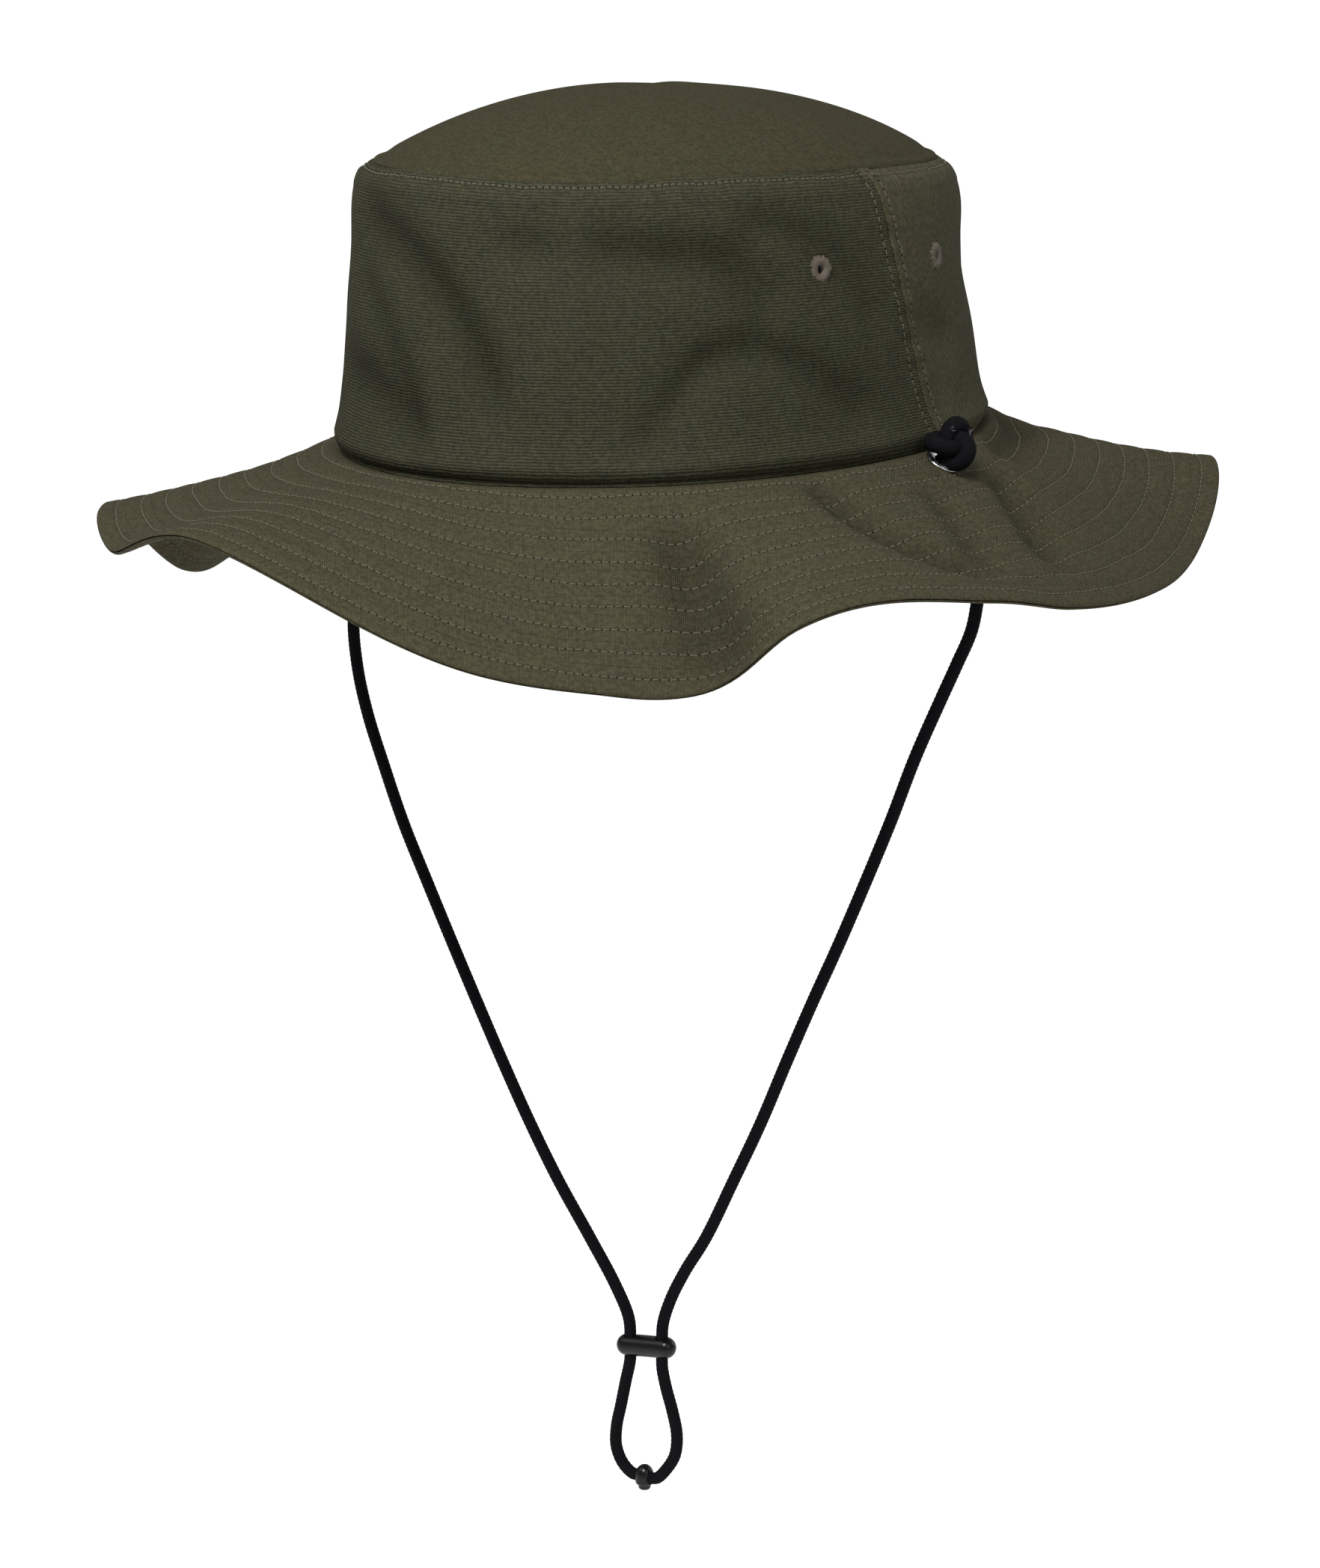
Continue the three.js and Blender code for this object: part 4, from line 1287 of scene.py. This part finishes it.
def add_vent(name, centre, up):
    """An embroidered air hole: threads side by side from the rim down into the hole, inside and out."""
    across = unit(np.cross(up, [0, 0, 1]))
    other = np.cross(up, across)
    draw = np.random.default_rng(sum(map(ord, name)))
    hole, outer, barrel = VENT["hole"], VENT["outer"], VENT["barrel"]
    count, parts = 46, []
    for face in (1, -1):
        base = 0.12 if face > 0 else -CANVAS - 0.12
        turn = np.arange(count) * 2 * np.pi / count + draw.normal(0, 0.02, count)
        reach = outer - 0.6 + draw.normal(0, 0.2, count)
        inside = np.broadcast_to([[hole + 0.35], [hole]], (2, count))
        radii = np.stack([reach, reach - 0.35, (reach + hole) / 2, *inside], 1)
        heights = base + face * np.array([-0.25, 0.24, 0.5, 0.34, -0.5])
        spokes = np.cos(turn)[:, None] * across + np.sin(turn)[:, None] * other
        centres = centre + spokes[:, None] * radii[..., None] + heights[None, :, None] * up
        parts.append(stitch_mesh(centres, np.broadcast_to(face * up, centres.shape), 0.24))
    under, rim = -CANVAS - 0.02, outer - 1
    core = [
        [hole + 0.1, -CANVAS - 0.2], [rim, -CANVAS - 0.2], [rim, under], [barrel, under],
        [barrel, 0.02], [rim, 0.02], [rim, 0.2], [hole + 0.1, 0.2],
    ]
    parts.append(lathe(core, 48, centre, up))
    dress(mesh_object(name + "_embroidery", *merged(parts), vent_finish, crease=60), "hat", "thread", name)


# ---------- inside the crown ----------
def wall_strip(name, angles, levels, depth, thickness, material, slot, closed=False, seam=None):
    """A strip of cloth that lies inside the crown's wall, round it or along a seam."""
    a, h = np.meshgrid(angles, levels, indexing="ij")
    a = a + (seam(h) if seam else 0)
    face = wall_relief(a, h) - depth
    rim = np.minimum(h - levels[0], levels[-1] - h)
    rounded = thickness * 0.45 * np.clip(1 - rim / 0.6, 0, 1) ** 2
    heights = face - rounded, face - thickness + rounded
    both_faces = [lifted(crown_wall, a, h, height) for height in heights]
    a, h = closed_grid(angles, levels) if closed else np.meshgrid(angles, levels, indexing="ij")
    maps = {"weave": np.stack([a * WALL_MM_PER_DEGREE, h], -1)}
    cloth_piece(name + "_cloth", name, both_faces, material, slot, maps, closed=closed)


def strip_levels(bottom, top, step):
    edge = np.array([0, 0.2, 0.5, 0.9])
    count = max(2, int((top - bottom - 2.4) / step))
    return np.concatenate([bottom + edge, np.linspace(bottom + 1.2, top - 1.2, count), top - edge[::-1]])


def add_inside():
    """The sweatband, the tapes over the seams, and the blank label."""
    whole = np.arange(360) * 1.0
    band = strip_levels(0.9, SWEATBAND_TOP, 1.5)
    wall_strip("sweatband", whole, band, TAPE_DEPTH, BAND, band_cloth, "tape", True)
    tip_tape = strip_levels(*(share * CROWN_HEIGHT for share in TAPE_SPANS["tip"]), 1.2)
    wall_strip("tip_seam_tape", whole, tip_tape, TAPE_DEPTH, TAPE, band_cloth, "tape", True)
    side_tape = strip_levels(*(share * CROWN_HEIGHT for share in TAPE_SPANS["side"]), 1.5)
    across = np.linspace(-2.4, 2.4, 13)
    for side, seam in SEAMS.items():
        name = f"side_seam_tape_{side}"
        wall_strip(name, across, side_tape, TAPE_DEPTH, TAPE, band_cloth, "tape", seam=seam)
    across = LABEL["angle"] + np.linspace(-LABEL["half_angle"], LABEL["half_angle"], 33)
    levels = strip_levels(LABEL["bottom"], LABEL["top"], 1.2)
    wall_strip("size_label", across, levels, LABEL_DEPTH, LABEL["thickness"], label_cloth, "label")
    add_inside_stitching()


def add_inside_stitching():
    """Rows near both edges of the sweatband, along the tip's tape, and at both ends of the label."""
    def sewn(height, depth, seed, *layout):
        row = wall_row(height, *layout)
        return sewn_row(crown_wall, lambda a, h: wall_relief(a, h) - depth, row, seed, -1)

    places = ((2.6, BAND), (27.6, BAND), (67.2, TAPE))
    rows = [sewn(height, TAPE_DEPTH + cloth, 101, 3, 0, 360) for height, cloth in places]
    edge, middle = 1.0, LABEL["angle"]
    half = LABEL["half_angle"] - edge / WALL_MM_PER_DEGREE
    for height in (LABEL["bottom"] + edge, LABEL["top"] - edge):
        rows.append(sewn(height, LABEL_DEPTH + LABEL["thickness"], 102, 2, middle - half, middle + half))
    add_stitching("inside_stitching", rows)


# ---------- eyelets ----------
def arc(centre, radius, start, stop, count):
    turn = np.radians(np.linspace(start, stop, count))
    return [[centre[0] + radius * math.cos(t), centre[1] + radius * math.sin(t)] for t in turn]


def add_eyelet(side):
    """A ring with a rounded flange on the brim and a barrel through it, and its washer under the brim."""
    point, up = eyelet_place(side)
    place = np.array(float(SIDES[side]["angle"])), np.array(EYELET["slant"])
    point = point + up * float(brim_sway(*place))
    outer, bore, barrel, seat = EYELET["outer"], EYELET["bore"], EYELET["barrel"], EYELET["seat"]
    bottom, flange = -BRIM_STACK - seat - EYELET["washer"], EYELET["flange"]
    ring = [
        [bore, bottom], [barrel, bottom], [barrel, seat - 0.1], [outer - 0.2, seat - 0.25],
        *arc((outer - 0.25, seat), 0.25, -60, 70, 7),
        *arc(((outer + bore) / 2, seat - 0.9), flange + 0.9, 62, 112, 9),
        *arc((bore + 0.45, seat + 0.05), 0.45, 100, 180, 7),
    ]
    rim, high = barrel + GAP / 3, bottom + EYELET["washer"]
    washer = [
        [rim, high], [rim, bottom + 0.2], *arc((rim + 0.3, bottom + 0.1), 0.3, 180, 270, 5),
        *arc((outer - 0.3, bottom + 0.2), 0.3, -90, 0, 6), [outer, high],
    ]
    for name, profile, part in (("ring", ring, "flange"), ("back_ring", washer[::-1], "washer")):
        made = mesh_object(f"eyelet_{side}_{name}", *lathe(profile, 72, point, up), nickel_finish)
        dress(made, "hat", "eyelet_metal", f"eyelet_{side}_{part}")


# ---------- assembly ----------
add_camera()
slider_piece = add_slider()
bead_piece = add_bead()
for side_name in SIDES:
    knot_piece = add_knot(side_name)
    add_stub(side_name, knot_piece)
    add_leg(side_name, slider_piece)
    add_loop(side_name, bead_piece)
    add_eyelet(side_name)
add_studio()
add_brim()
add_panel("crown_front_cloth", "crown_front_panel", lambda h: right_seam(h) - 360, left_seam, crown_cloth)
add_panel("crown_rear_cloth", "crown_rear_panel", left_seam, right_seam, side_cloth)
add_tip()
add_crown_stitching()
for vent_name, (vent_point, vent_up) in vent_places().items():
    add_vent(vent_name, vent_point, vent_up)
add_inside()
